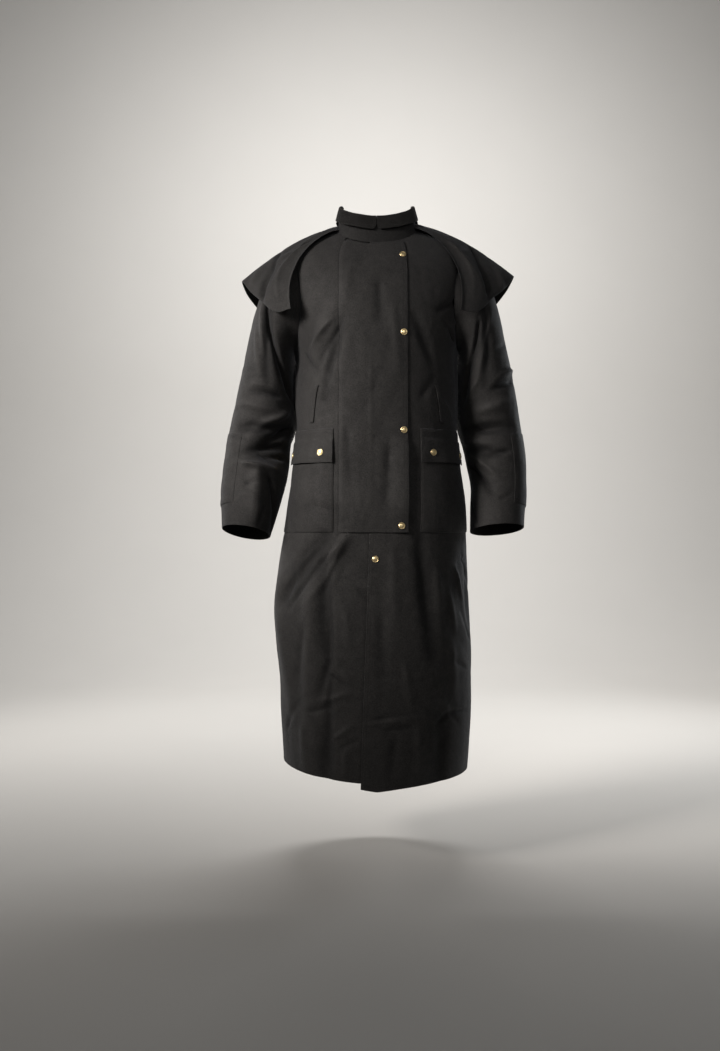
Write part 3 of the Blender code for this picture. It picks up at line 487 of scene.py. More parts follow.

# Ribbed cotton's tone, its ribs' share, and its patterns' shares; brass's tarnish. The ribs' share
# paints highlight on the ribs and shade between them.
RIB_TONE, RIB_SHARE, RIB_CLOUD, RIB_NAP = 0.25, 0.45, 0.8, 0.6
RIB_ROUGH, RIB_ROUGH_TONE = 0.92, 0.1
TARNISH_FROM, TARNISH_GAIN, TARNISH_GROOVE = 0.52, 1.2, 0.7
BRASS_ROUGH, BRASS_ROUGH_TARNISH = 0.36, 0.2

# Relief of the cloth's surface, in metres
WEAVE_RELIEF = 0.00005
GRAIN_RELIEF, BEND_RELIEF, SPECK_RELIEF = 0.0006, 0.0007, 0.00016
ROW_RELIEF, THREAD_RELIEF = 0.00035, 0.0003
RIB_RELIEF, NAP_RELIEF, CLOUD_RELIEF = 0.0006, 0.0003, 0.0012
BRASS_RELIEF, FLOOR_RELIEF = 0.00008, 0.0002

SIDES = ((-1, "right"), (1, "left"))
# Edges with rows of stitches, of the fronts, back and cape and of what is sewn on all round
PANEL_SEWN = ("left", "right", "bottom")
ALL_ROUND = (*PANEL_SEWN, "top")

# Cloth that is carried from layer to layer
SOLID_WALL = 0.0018  # the solids' wall
LAYER = 0.0024  # from one layer's outer face to the next one's
GAP = 0.0003
SEAM_DIP = 0.0011  # a seam's edges turn in by this much
SEAM_WIDTH = 0.003
EDGE_SHARE = 0.14  # the extra line inside an edge, as a part of the way to the next one
EDGE_PAINTED_SHADE = -0.006  # painted shade on cut edges: they are coloured as dark as a trough this deep
NORMAL_STEP = 2e-4  # step along a surface from which its normal is taken
CRUMPLE_WAVES = (0.150, 0.094, 0.058, 0.035, 0.021)
CRUMPLE_WARP, CRUMPLE_WARP_WAVE = 1.5, 1.9  # each wave is bent so much, over so many of its widths
CRUMPLE_EVEN, CRUMPLE_PATCH = 0.55, 3.1  # its mean strength, and the widths over which it changes
BODY_SEED, SLEEVE_SEED, CAPE_SEED, COLLAR_SEED = 11, 23, 37, 51
FOLD_END = 0.35  # height of a main fold at its ends, as a part of its height
CREASE_WIDTH = 0.72  # of the widths in the tables
CREASE_START, CREASE_RUN_IN = 0.25, 0.2  # a crease starts this high and is whole this far on
CREASE_FADE = 0.8  # it loses this part of its height by its end
CREASE_ROUND = 1e-7  # added to its squared distances, so that its ridge is round
CREASE_NARROW, CREASE_WIDEN = 0.8, 0.5  # its width at its start, and what it gains


# Shapes


def columns(table, names, at):
    """Each column of a table at the wanted values of its first one, on a smooth curve."""
    rows = np.array(table)
    if rows[0, 0] > rows[-1, 0]:
        rows = rows[::-1]
    knots = rows[:, 0]
    at = np.clip(at, knots[0], knots[-1])
    slopes = np.gradient(rows, knots, axis=0)
    low = np.clip(np.searchsorted(knots, at) - 1, 0, len(knots) - 2)
    span = knots[low + 1] - knots[low]
    t = (at - knots[low]) / span
    near, far = 1 - t, t
    weights = (
        near * near * (1 + 2 * t),
        far * far * (3 - 2 * t),
        near * near * t * span,
        -far * far * near * span,
    )
    return {
        name: weights[0] * rows[low, i]
        + weights[1] * rows[low + 1, i]
        + weights[2] * slopes[low, i]
        + weights[3] * slopes[low + 1, i]
        for i, name in enumerate(names)
    }


def smooth(value):
    """A soft step from 0 to 1."""
    value = np.clip(value, 0.0, 1.0)
    return value * value * (3 - 2 * value)


def along_line(row, across, along, scales, turn):
    """(part, distance) of points from a straight line on the cloth, from its start to its end.

    The line's ends are the first four values of its row. What goes round the coat comes back to
    itself after one turn, so a distance round is taken the shorter way.
    """
    start_a, start_b, end_a, end_b = row[:4]
    run = np.array([(end_a - start_a) * scales[0], (end_b - start_b) * scales[1]])
    off = np.mod(across - start_a + turn / 2, turn) - turn / 2
    from_start = np.stack([off * scales[0], (along - start_b) * scales[1]], axis=-1)
    part = np.clip(from_start @ run / (run @ run), 0.0, 1.0)
    return part, np.linalg.norm(from_start - part[..., None] * run, axis=-1)


def fold_heights(table, across, along, scales, turn):
    """Sum of the main folds: height x taper x exp(-(distance / width) squared)."""
    across, along = np.broadcast_arrays(across, along)
    total = np.zeros(across.shape)
    for row in table:
        part, distance = along_line(row, across, along, scales, turn)
        taper = FOLD_END + (1 - FOLD_END) * np.sin(np.pi * part)
        total += row[5] * taper * np.exp(-((distance / row[4]) ** 2))
    return total


def crease_heights(table, across, along, scales, turn):
    """Sum of the creases: height x strength x exp(-(distance / width) to the sharpness).

    The strength comes on at once at a crease's start and fades out towards its end, where the
    crease is also wider, as a pulled fold is.
    """
    across, along = np.broadcast_arrays(across, along)
    total = np.zeros(across.shape)
    for row in table:
        part, distance = along_line(row, across, along, scales, turn)
        width, height, sharpness = row[4] / 1000 * CREASE_WIDTH, row[5] / 1000, row[6]
        strength = CREASE_START + (1 - CREASE_START) * smooth(part / CREASE_RUN_IN)
        strength = strength * (1 - CREASE_FADE * part**3)
        reach = np.sqrt(distance**2 + CREASE_ROUND)
        reach = reach / (width * (CREASE_NARROW + CREASE_WIDEN * part))
        total += height * sizes().creases * strength * np.exp(-(reach**sharpness))
    return total


def crumple(points, seed):
    """Small uneven facets: |sin| waves through space in seeded directions, each bent and patchy."""
    rng = np.random.default_rng(seed)
    total = np.zeros(points.shape[:-1])
    for wave in CRUMPLE_WAVES:
        direction, bend, patch = rng.normal(size=(3, 3))
        direction, bend, patch = (v / np.linalg.norm(v) for v in (direction, bend, patch))
        phase = rng.uniform(0, 2 * np.pi, 3)
        warp = np.sin(points @ bend * 2 * np.pi / (wave * CRUMPLE_WARP_WAVE) + phase[0])
        run = points @ direction * np.pi / wave + CRUMPLE_WARP * warp + phase[1]
        strength = np.sin(points @ patch * 2 * np.pi / (wave * CRUMPLE_PATCH) + phase[2])
        strength = CRUMPLE_EVEN + (1 - CRUMPLE_EVEN) * strength
        total += wave * strength * (np.abs(np.sin(run)) - 2 / np.pi)
    return total


def in_photo(points):
    """The photograph's pixel that shows each point."""
    away = points[..., 1] + CAMERA_AWAY
    x = PHOTO_WIDTH / 2 + FOCAL_PIXELS * (points[..., 0] - CAMERA_X) / away
    y = PHOTO_HEIGHT / 2 - FOCAL_PIXELS * (points[..., 2] - CAMERA_LEVEL) / away
    return np.stack([x, y], axis=-1)


def placed(table, across, along, points):
    """A table of creases in pixels, with each end moved to the nearest of some sampled points.

    across and along are the samples' measures on the cloth, which take the pixels' places.
    """
    pixels = in_photo(points).reshape(-1, 2)
    across, along = across.ravel(), along.ravel()
    rows = []
    for row in table:
        near = [np.argmin(((pixels - row[i : i + 2]) ** 2).sum(-1)) for i in (0, 2)]
        rows.append((across[near[0]], along[near[0]], across[near[1]], along[near[1]], *row[4:]))
    return rows


def body_level(around, nominal, drop):
    """Real level of a point: the front neckline dips and the hem has its own slopes."""
    from_front = np.clip(np.abs(around) / SIDE, 0, 1)
    near_neck = smooth(1 + nominal / NECK_DIP_REACH)
    level = nominal - NECK_DIP * (1 - from_front**2) ** NECK_DIP_POWER * near_neck
    near_hem = smooth(1 - (nominal - HEM) / HEM_REACH)
    lower = drop * (1 - from_front) ** 2
    higher = HEM_RISE_RIGHT * smooth(-around / SIDE) * smooth(2 + around / SIDE)
    return level + near_hem * (higher - lower)


def plain_body(around, nominal, drop=0.0):
    """The body without folds: on each level an ellipse whose powers make it squarer.

    Returns the points and their level outward direction.
    """
    around, nominal = np.broadcast_arrays(around, nominal)
    level = body_level(around, nominal, drop)
    size = columns(SECTIONS, SECTION_COLUMNS, level)
    half = np.where(around < 0, size["right"], size["left"])
    power = 2 / size["square"]
    distance = np.abs(around)
    straight = size["spread"] / PLAIN_HALF
    flat_angle = np.arcsin((FLAT * straight / half) ** (1 / power))
    front_angle = np.where(
        distance <= FLAT,
        np.arcsin((np.minimum(distance, FLAT) * straight / half) ** (1 / power)),
        flat_angle + (math.pi / 2 - flat_angle) * (distance - FLAT) / (SIDE - FLAT),
    )
    angle = np.where(distance < SIDE, front_angle, math.pi / 2 * distance / SIDE)
    sine = np.clip(np.sin(angle), 0, 1) ** power
    cosine = np.abs(np.cos(angle)) ** power
    x = np.sign(around) * half * sine
    y = np.where(distance < SIDE, -size["front"], size["back"]) * cosine
    outward = np.stack([x / half**2, y / size["front"] ** 2, 0 * x], axis=-1)
    outward = outward / np.linalg.norm(outward, axis=-1, keepdims=True)
    return np.stack([x, y, level], axis=-1), outward


@functools.cache
def body_creases():
    """The body's creases, round and level of each end: the front's by their pixels, then others."""
    around, nominal = np.meshgrid(np.linspace(-SIDE, SIDE, 541), np.linspace(0, HEM, 613))
    points = plain_body(around, nominal)[0]
    return (*placed(FRONT_CREASES, around, points[..., 2], points), *HIDDEN_CREASES)


def body_rise(around, points):
    """Height of the folds, creases and crumples over the plain body."""
    level = points[..., 2]
    rise = fold_heights(BODY_FOLDS, around, level, (1.0, 1.0), TURN)
    rise = rise + crease_heights(body_creases(), around, level, (1.0, 1.0), TURN)
    return rise + sizes().crumple * crumple(points, BODY_SEED)


def body_point(around, nominal, drop=0.0):
    """Outer face of the coat's body, round from the front centre and down from the neck base."""
    around, nominal = np.broadcast_arrays(around, nominal)
    points, outward = plain_body(around, nominal, drop)
    return points + outward * body_rise(around, points)[..., None]


def left_point(around, nominal):
    """The left front's own surface: its lapping corner hangs lower."""
    return body_point(around, nominal, HEM_DROP_LEFT)


def raised(surface, across, down, out):
    """Points of a surface, moved out along its normal."""
    along = surface(across + NORMAL_STEP, down) - surface(across - NORMAL_STEP, down)
    below = surface(across, down - NORMAL_STEP) - surface(across, down + NORMAL_STEP)
    normal = np.cross(below, along)
    normal = normal / np.linalg.norm(normal, axis=-1, keepdims=True)
    return surface(across, down) + normal * np.asarray(out)[..., None]


def left_edge(nominal):
    """The left front's edge, round from the centre: straight under the flap, leaning below it."""
    below = np.clip((FLAP_BOTTOM - nominal) / (FLAP_BOTTOM - HEM), 0, 1)
    return LEFT_EDGE_TOP + (LEFT_EDGE_HEM - LEFT_EDGE_TOP) * below


def lap(around):
    """How far the left front stands out over the right one."""
    return LAP_HEIGHT * (1 - smooth((around - UNDERLAP) / (LAP_END - UNDERLAP)))


def even(start, end, spacing):
    """Values from start to end, evenly, about a spacing apart."""
    return np.linspace(start, end, max(2, round(abs(end - start) / spacing) + 1))


def wrapped(values, turn):
    """Values from 0 to a whole turn, as values from half a turn below 0 to half a turn above."""
    return np.where(values > turn / 2, values - turn, values)


def between(left, right, count):
    """Columns evenly from a left to a right value, either of which may change from row to row."""
    part = np.linspace(0, 1, count)[None, :]
    left, right = np.reshape(left, (-1, 1)), np.reshape(right, (-1, 1))
    return left + (right - left) * part


def seam_dip(*distances):
    """How far the cloth turns in beside its seams, at points that far from each."""
    return -SEAM_DIP * sum(np.exp(-((np.abs(d) / SEAM_WIDTH) ** 2)) for d in distances)


def body_rows(spacing):
    """Levels of the panels' rows. By the armholes they keep even distances along their edge."""
    top, bottom = ARMHOLE_LEVEL + ARMHOLE_HEIGHT, ARMHOLE_LEVEL - ARMHOLE_HEIGHT
    turn = np.linspace(0, np.pi, round(np.pi * ARMHOLE_HEIGHT / spacing) + 1)
    by_armhole = ARMHOLE_LEVEL + ARMHOLE_HEIGHT * np.cos(turn)
    above, below = even(0.0, top, spacing), even(bottom, HEM, spacing)
    return np.concatenate([above[:-1], by_armhole, below[1:]])[:, None]


def armhole_edge(rows, side, back):
    """Round from the side seam to an armhole's edge on each row, or 0 where it isn't cut."""
    steps = np.linspace(0, ARMHOLE_REACH, 321)
    around = side * (SIDE + (steps if back else -steps))[None, :]
    points = plain_body(around, rows)[0]
    across = (points[..., 1] - ARMHOLE_Y) / ARMHOLE_DEPTH
    up = (points[..., 2] - ARMHOLE_LEVEL) / ARMHOLE_HEIGHT
    outside = across**2 + up**2 - 1
    first = np.argmax(outside > 0, axis=1)
    row = np.arange(len(rows))
    before = np.maximum(first - 1, 0)
    near, far = outside[row, before], outside[row, first]
    part = np.where(first > 0, -near / np.where(far > near, far - near, 1.0), 0.0)
    return (steps[before] + part * (steps[1] - steps[0]))[:, None]


def sleeve_table(side):
    """A sleeve's table, with the part of its length before each row."""
    table = SLEEVE_RIGHT if side < 0 else SLEEVE_LEFT
    return [(row / (len(table) - 1), *values) for row, values in enumerate(table)]


def armhole_point(side, around):
    """The sleeve's first row: the armhole's ellipse on the body, less a gap, for a sleeve at +X."""
    angle = np.radians(around)
    y = ARMHOLE_Y - (ARMHOLE_DEPTH - GAP) * np.sin(angle)
    level = ARMHOLE_LEVEL + (ARMHOLE_HEIGHT - GAP) * np.cos(angle)
    size = columns(SECTIONS, SECTION_COLUMNS, level)
    half = size["right"] if side < 0 else size["left"]
    depth = np.where(y < 0, size["front"], size["back"])
    square = size["square"]
    x = half * (1 - np.abs(y / depth) ** square) ** (1 / square)
    return np.stack([x, y, level], axis=-1)


def plain_sleeve(side, around, part, rise=0.0):
    """A sleeve: an ellipse between its outer and inner edge on each row, whose front tips up.

    Its first rows go over into the armhole's edge. A rise makes the ellipse larger.
    """
    table = sleeve_table(side)
    around, part = np.broadcast_arrays(np.mod(np.add(around, 180.0), 360.0) - 180.0, part)
    angle = np.radians(around)
    size = columns(table, SLEEVE_COLUMNS, part)
    outer = np.stack([size["outer_x"], size["centre_y"], size["outer_level"]], axis=-1)
    inner = np.stack([size["inner_x"], size["centre_y"], size["inner_level"]], axis=-1)
    tip = np.radians(size["tip"])
    to_front = np.stack([0 * tip, -np.cos(tip), np.sin(tip)], axis=-1)
    out = (outer - inner) / 2
    half = np.linalg.norm(out, axis=-1)
    out = out * (1 + rise / half)[..., None]
    front = to_front * (size["half_depth"] + rise)[..., None]
    point = (outer + inner) / 2 + out * np.cos(angle)[..., None] + front * np.sin(angle)[..., None]
    first = columns(table, SLEEVE_COLUMNS, np.zeros(part.shape))
    x = (first["outer_x"] + first["inner_x"]) / 2
    x = x + (first["outer_x"] - first["inner_x"]) / 2 * np.cos(angle)
    level = (first["outer_level"] + first["inner_level"]) / 2
    level = level + (first["outer_level"] - first["inner_level"]) / 2 * np.cos(angle)
    on_ring = np.stack([x, first["centre_y"] - first["half_depth"] * np.sin(angle), level], axis=-1)
    fade = (1 - smooth(part * (len(table) - 1) / SLEEVE_HEAD))[..., None]
    point = point + (armhole_point(side, around) - on_ring) * fade
    return point * np.array([side, 1.0, 1.0])


@functools.cache
def sleeve_creases(side):
    """A sleeve's creases, by degrees and part of each end: the front's are placed by pixels."""
    around, part = np.meshgrid(np.linspace(2, 178, 353), np.linspace(0.04, 1, 481))
    points = plain_sleeve(side, around, part)
    table = SLEEVE_CREASES_RIGHT if side < 0 else SLEEVE_CREASES_LEFT
    return (*placed(table, around, part, points), *SLEEVE_CREASES_HIDDEN)


def sleeve_rise(side, around, part):
    """Height of the folds, creases and crumples on a sleeve. They fade out at the armhole."""
    scales = (math.radians(SLEEVE_GIRTH), SLEEVE_LENGTH)
    rise = fold_heights(SLEEVE_FOLDS, around, part, scales, 360.0)
    rise = rise + crease_heights(sleeve_creases(side), around, part, scales, 360.0)
    points = plain_sleeve(side, around, part)
    rise = rise + sizes().crumple * crumple(points, SLEEVE_SEED + side)
    return rise * smooth(part / SLEEVE_RUN_IN)


def sleeve_point(side, around, part):
    """Outer face of a sleeve, round from its outer edge by way of the front, and along it."""
    around, part = np.broadcast_arrays(around, part)
    return plain_sleeve(side, around, part, sleeve_rise(side, around, part))


def neckline(around):
    """The neckline that the collar stands on, and its level outward direction."""
    level = np.zeros(np.shape(around))
    along = plain_body(around + 1e-4, level)[0] - plain_body(around - 1e-4, level)[0]
    outward = np.stack([along[..., 1], -along[..., 0], level], axis=-1)
    outward = outward / np.linalg.norm(outward, axis=-1, keepdims=True)
    return plain_body(around, level)[0], outward


def stand_point(around, part, above=0.0):
    """Outer face of the collar's stand: up from the neckline, leaning in, highest in front."""
    around, part = np.broadcast_arrays(around, part)
    base, outward = neckline(around)
    near_front = (1 - np.clip(np.abs(around) / SIDE, 0, 1) ** 2) ** 2
    height = part * (STAND_BACK + (STAND_FRONT - STAND_BACK) * near_front) + above
    up = np.array([0.0, 0.0, 1.0])
    lean = height * STAND_LEAN
    return base - outward * lean[..., None] + up * (height + STAND_GAP)[..., None]


def fall_point(around, path):
    """Outer face of the fall: from inside the stand's top edge, over it, then down outside.

    The path is a length: half a turn of the roll, then straight down.
    """
    around, path = np.broadcast_arrays(around, path)
    roll = math.pi * FALL_ROLL
    turn = np.pi * (1 - np.clip(path / roll, 0, 1))
    down = np.clip(path - roll, 0, FALL_DEPTH) / FALL_DEPTH
    middle = stand_point(around, 1.0, -FALL_SEAT)
    outward = neckline(around)[1]
    off = -SOLID_WALL / 2 + FALL_ROLL * np.cos(turn) + FALL_SPREAD * down
    rise = FALL_ROLL * np.sin(turn) - FALL_DEPTH * down
    return middle + outward * off[..., None] + np.array([0.0, 0.0, 1.0]) * rise[..., None]


def neck_reach(around):
    """Distance from the origin's axis and level of the cape's neck edge, at an angle from above."""
    ring = np.linspace(-2 * SIDE, 2 * SIDE, 2161)
    edge = neckline(ring)[0]
    azimuth = np.degrees(np.arctan2(edge[:, 0], -edge[:, 1]))
    order = np.argsort(azimuth)
    azimuth, edge = azimuth[order], edge[order]
    distance = np.hypot(edge[:, 0], edge[:, 1]) + CAPE_OFF_STAND + SOLID_WALL / 4
    to_left = smooth(0.5 + np.asarray(around) / 180)
    rise = CAPE_RISE_RIGHT + (CAPE_RISE_LEFT - CAPE_RISE_RIGHT) * to_left
    level = np.interp(around, azimuth, edge[:, 2]) + rise
    return np.stack([np.interp(around, azimuth, distance), level], axis=-1)


def plain_cape(around, part):
    """The cape, seen from above at an angle from the front, from its neck edge to its hem.

    It goes out from the neck edge to its reach by one power of the part, and down by another.
    """
    around, part = np.broadcast_arrays(around, part)
    azimuth = np.abs(around)
    size = columns(CAPE, CAPE_COLUMNS, azimuth)
    reach = np.where(around < 0, size["reach_right"], size["reach_left"])
    hem = np.where(around < 0, size["hem_right"], size["hem_left"])
    near_front = smooth((CAPE[3][0] - azimuth) / (CAPE[3][0] - CAPE[0][0]))
    swept = azimuth + CAPE_SWEEP * near_front * np.sin(np.pi * part**CAPE_SWEEP_POWER)
    angle = np.radians(swept) * np.sign(around)
    start = neck_reach(around)
    flat = start[..., 0] + (reach - start[..., 0]) * (1 - (1 - part) ** size["spread"])
    level = start[..., 1] + (hem - start[..., 1]) * part ** size["drop"]
    return np.stack([flat * np.sin(angle), -flat * np.cos(angle), level], axis=-1)


@functools.cache
def cape_creases():
    """The cape's creases, by azimuth and part of each end: the front's are placed by pixels."""
    rows = []
    for side, table in ((-1, CAPE_CREASES_RIGHT), (1, CAPE_CREASES_LEFT)):
        around, part = np.meshgrid(side * np.linspace(58, 90, 161), np.linspace(0, 1, 241))
        rows.extend(placed(table, around, part, plain_cape(around, part)))
    return (*rows, *CAPE_CREASES_HIDDEN)


def cape_rise(around, part):
    """Height of the creases and crumples on the cape. They fade out at the neck."""
    scales = (math.radians(CAPE_REACH), CAPE_REACH)
    rise = crease_heights(cape_creases(), around, part, scales, 360.0)
    rise = rise + sizes().crumple * crumple(plain_cape(around, part), CAPE_SEED)
    return rise * smooth(part / CAPE_RUN_IN)


# Meshes


def grid_normals(points, closed):
    """Outward directions of a grid of points, from the differences along its rows and columns."""
    if closed:
        points = np.concatenate([points[:, -2:], points, points[:, :2]], axis=1)
    normal = np.cross(np.gradient(points, axis=0), np.gradient(points, axis=1))
    normal = normal / np.maximum(np.linalg.norm(normal, axis=-1, keepdims=True), 1e-12)
    return normal[:, 2:-2] if closed else normal


def lengths(points, axis):
    """Distance of each point along its row or column from the first one."""
    steps = np.linalg.norm(np.diff(points, axis=axis), axis=-1)
    return np.insert(np.cumsum(steps, axis=axis), 0, 0.0, axis=axis)


def edge_measures(across, down, sewn):
    """(distance to the nearest sewn edge, distance along it) of each point of a grid."""
    sides = {
        "left": (across, down),
        "right": (across[:, -1:] - across, down),
        "top": (down, across),
        "bottom": (down[-1:] - down, across),
    }
    edge, run = np.full(across.shape, 1.0), down
    for name in sewn:
        nearer = sides[name][0] < edge
        edge, run = np.where(nearer, sides[name][0], edge), np.where(nearer, sides[name][1], run)
    return edge, run


def quads(one, two, reverse=False):
    """Faces between two lines of points, each to its next."""
    faces = np.stack([one[:-1], one[1:], two[1:], two[:-1]], axis=-1)
    return faces[:, ::-1] if reverse else faces


def outline_of(rows, count, closed):
    """The grid's edges as lines of (row, column), each with the points one step inside them."""
    row, column = np.arange(rows), np.arange(count)
    if closed:
        lines = [(0 * column, column), (0 * column[::-1] + rows - 1, column[::-1])]
    else:
        around_row = np.concatenate([0 * column, row[1:], 0 * column[1:] + rows - 1, row[-2::-1]])
        around_column = np.concatenate(
            [column, 0 * row[1:] + count - 1, column[-2::-1], 0 * row[1:]]
        )
        lines = [(around_row, around_column)]
    return lines


def crisp(values, closed):
    """A grid with one more line just inside each edge, so that the cloth stays flat up to it."""
    near = EDGE_SHARE
    first = values[:1] * (1 - near) + values[1:2] * near
    last = values[-1:] * (1 - near) + values[-2:-1] * near
    values = np.concatenate([values[:1], first, values[1:-1], last, values[-1:]])
    if closed:
        return values
    return np.swapaxes(crisp(np.swapaxes(values, 0, 1), True), 0, 1)


def shell(name, points, wall, rise=0.0, sewn=(), closed=False):
    """A closed wall of cloth under a grid of points, with rounded edges.

    The inner face is the outer one moved in by the wall along its normals. Round the edges a
    third line of points stands half a wall out. The cloth map holds lengths across and down, the
    edges map the distance to the nearest sewn edge and along it, and fold the creases' height,
    which the colour turns into painted shade in troughs; on the rim fold is set so that the cut
    edges get painted shade.
    """
    rise = crisp(np.broadcast_to(rise, points.shape[:2]), closed)
    points = crisp(points, closed)
    normal = grid_normals(points, closed)
    if closed:  # the first column comes again at the end, so that the maps can go on round
        points = np.concatenate([points, points[:, :1]], axis=1)
        normal = np.concatenate([normal, normal[:, :1]], axis=1)
    rows, count = points.shape[:2]
    inner = points - normal * wall
    across, down = lengths(points, 1), lengths(points, 0)
    edge, run = edge_measures(across, down, sewn)
    height = np.concatenate([rise, rise[:, :1]], axis=1) if closed else rise
    grid = np.arange(rows * count).reshape(rows, count)
    outer = np.stack([grid[:-1, :-1], grid[1:, :-1], grid[1:, 1:], grid[:-1, 1:]], axis=-1)
    outer = outer.reshape(-1, 4)
    faces = [outer, outer[:, ::-1] + grid.size]
    places = [points.reshape(-1, 3), inner.reshape(-1, 3)]
    heights = [height.ravel(), height.ravel()]
    source = [grid.ravel(), grid.ravel()]
    first = 2 * grid.size
    for line in outline_of(rows, count, closed):
        here = grid[line]
        step_row = np.clip(line[0], 1, rows - 2)
        step_column = line[1] if closed else np.clip(line[1], 1, count - 2)
        away = points[line] - points[step_row, step_column]
        away = away / np.maximum(np.linalg.norm(away, axis=-1, keepdims=True), 1e-12)
        middle = (points[line] + inner[line]) / 2 + away * wall / 2
        rim = first + np.arange(len(here))
        if not closed:
            rim[-1] = rim[0]
        faces += [quads(here, rim), quads(rim, here + grid.size)]
        places.append(middle)
        # The rim's fold value paints the cut edge dark: painted shade.
        heights.append(np.full(len(here), EDGE_PAINTED_SHADE))
        source.append(here)
        first += len(here)
    places, heights, source, faces = map(np.concatenate, (places, heights, source, faces))
    maps = {"cloth": (across, down), "edges": (edge, run)}
    return add_mesh(name, places, faces, source, closed, maps, heights)


def add_mesh(name, places, faces, source, closed, maps, heights):
    """The mesh of a shell. What a tube has twice at its closing line becomes one point."""
    rows, count = maps["cloth"][0].shape
    vertex = np.arange(len(places))
    if closed:
        grid = np.arange(rows * count).reshape(rows, count)
        for part in (0, 1):
            vertex[grid[:, -1] + part * grid.size] = grid[:, 0] + part * grid.size
        start = 2 * grid.size
        vertex[start + count - 1] = start
        vertex[start + count] = start + 2 * count - 1
    used, index = np.unique(vertex[faces], return_inverse=True)
    index = index.reshape(faces.shape)
    mesh = bpy.data.meshes.new(name)
    mesh.from_pydata(places[used].tolist(), [], index.tolist())
    mesh.shade_smooth()
    corner = source[faces].ravel()
    for layer, pair in maps.items():
        values = np.stack([pair[0].ravel()[corner], pair[1].ravel()[corner]], axis=-1)
        mesh.uv_layers.new(name=layer).data.foreach_set("uv", values.ravel().astype(np.float32))
    # fold carries the creases' height and the values of rims and stand, which the cloth's colour
    # turns into painted shade.
    fold = mesh.attributes.new("fold", "FLOAT", "POINT")
    fold.data.foreach_set("value", heights[used].astype(np.float32))
    made = bpy.data.objects.new(name, mesh)
    bpy.context.scene.collection.objects.link(made)
    return made


def hang(made, material, replaced):
    """Gives a piece its material, its body and the solid that it stands for."""
    made.data.materials.append(material)
    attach(made, "root")
    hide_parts(replaced)


def cut_of(points, closed=False):
    """(width, length) and area of a grid of points, laid flat."""
    if closed:
        points = np.concatenate([points, points[:, :1]], axis=1)
    across, down = lengths(points, 1), lengths(points, 0)
    one = np.cross(points[1:, :-1] - points[:-1, :-1], points[:-1, 1:] - points[:-1, :-1])
    two = np.cross(points[1:, :-1] - points[1:, 1:], points[:-1, 1:] - points[1:, 1:])
    area = (np.linalg.norm(one, axis=-1).sum() + np.linalg.norm(two, axis=-1).sum()) / 2
    flat = (round(float(across[:, -1].max()), 3), round(float(down[-1].max()), 3))
    return flat, min(round(float(area), 4), round(flat[0] * flat[1], 4))


def sewn_piece(
    name, points, rise, sewn, closed=False, wall=None, slot="waxed_cotton"
):
    """One piece of cloth that stands for the solid of the same name."""
    wall = sizes().wall if wall is None else wall
    made = shell(f"{name}_cloth", points, wall, rise, sewn, closed)
    flat, area = cut_of(points, closed)
    hang(made, ribbed_cotton() if slot == "ribbed_cotton" else waxed_cotton(), name)


def on_body(name, around, rows, out, sewn, drop=0.0):
    """A piece of cloth that follows the body with its creases, moved out from it."""
    rise = body_rise(around, plain_body(around, rows, drop)[0])
    points = raised(functools.partial(body_point, drop=drop), around, rows, out)
    sewn_piece(name, points, rise, sewn)


# Materials


class Wire:
    """A socket of a node tree. Sums on it add Math nodes, so that shader maths reads as maths."""

    def __init__(self, tree, socket):
        self.tree = tree
        self.socket = socket

    def node(self, kind, settings, inputs, output=0):
        """A node with its settings, then the values or wires of its sockets. Gives one output."""
        return add_node(self.tree, kind, settings, inputs, output)

    def maths(self, operation, *values):
        return self.node("ShaderNodeMath", {"operation": operation}, dict(enumerate(values)))

    def __add__(self, other):
        return self.maths("ADD", self, other)

    def __radd__(self, other):
        return self.maths("ADD", other, self)

    def __sub__(self, other):
        return self.maths("SUBTRACT", self, other)

    def __rsub__(self, other):
        return self.maths("SUBTRACT", other, self)

    def __mul__(self, other):
        return self.maths("MULTIPLY", self, other)

    def __rmul__(self, other):
        return self.maths("MULTIPLY", other, self)

    def __truediv__(self, other):
        return self.maths("DIVIDE", self, other)

    def __rtruediv__(self, other):
        return self.maths("DIVIDE", other, self)

    def __neg__(self):
        return self.maths("MULTIPLY", self, -1.0)

    def __abs__(self):
        return self.maths("ABSOLUTE", self)

    def sine(self):
        return self.maths("SINE", self)

    def within(self, low=0.0, high=1.0):
        """The value, kept between two others."""
        return self.maths("MINIMUM", self.maths("MAXIMUM", self, low), high)

    def line(self, width):
        """1 where the value is 0, down to 0 at a width on each side."""
        return (1.0 - abs(self) / width).within()


def add_node(tree, kind, settings=None, inputs=None, output=0):
    """A node of a kind: its settings first, then the values or wires of its sockets."""
    made = tree.nodes.new(kind)
    for name, value in (settings or {}).items():
        setattr(made, name, value)
    for key, value in (inputs or {}).items():
        if isinstance(value, Wire):
            tree.links.new(value.socket, made.inputs[key])
        else:
            made.inputs[key].default_value = value
    return Wire(tree, made.outputs[output])


def mixed(part, first, second):
    """A colour between two colours."""
    first = (*first, 1.0) if isinstance(first, tuple) else first
    second = (*second, 1.0) if isinstance(second, tuple) else second
    return part.node("ShaderNodeMix", {"data_type": "RGBA"}, {0: part, 6: first, 7: second}, 2)


def noise(tree, where, pattern):
    """One of the named patterns, from 0 to 1 and about a half on average."""
    inputs = {"Vector": where, **dict(zip(("Scale", "Detail", "Roughness"), pattern))}
    return add_node(tree, "ShaderNodeTexNoise", {}, inputs)


def new_material(name):
    """An empty material, its node tree, and the place that its patterns follow."""
    material = bpy.data.materials.new(name)
    material.use_nodes = True
    tree = material.node_tree
    tree.nodes.clear()
    place = add_node(tree, "ShaderNodeTexCoord", output="Object")
    return material, tree, place


def map_of(tree, name):
    """The two values of a map, as wires."""
    where = add_node(tree, "ShaderNodeUVMap", {"uv_map": name})
    parts = add_node(tree, "ShaderNodeSeparateXYZ", {}, {0: where})
    node = parts.socket.node
    return Wire(tree, node.outputs[0]), Wire(tree, node.outputs[1])


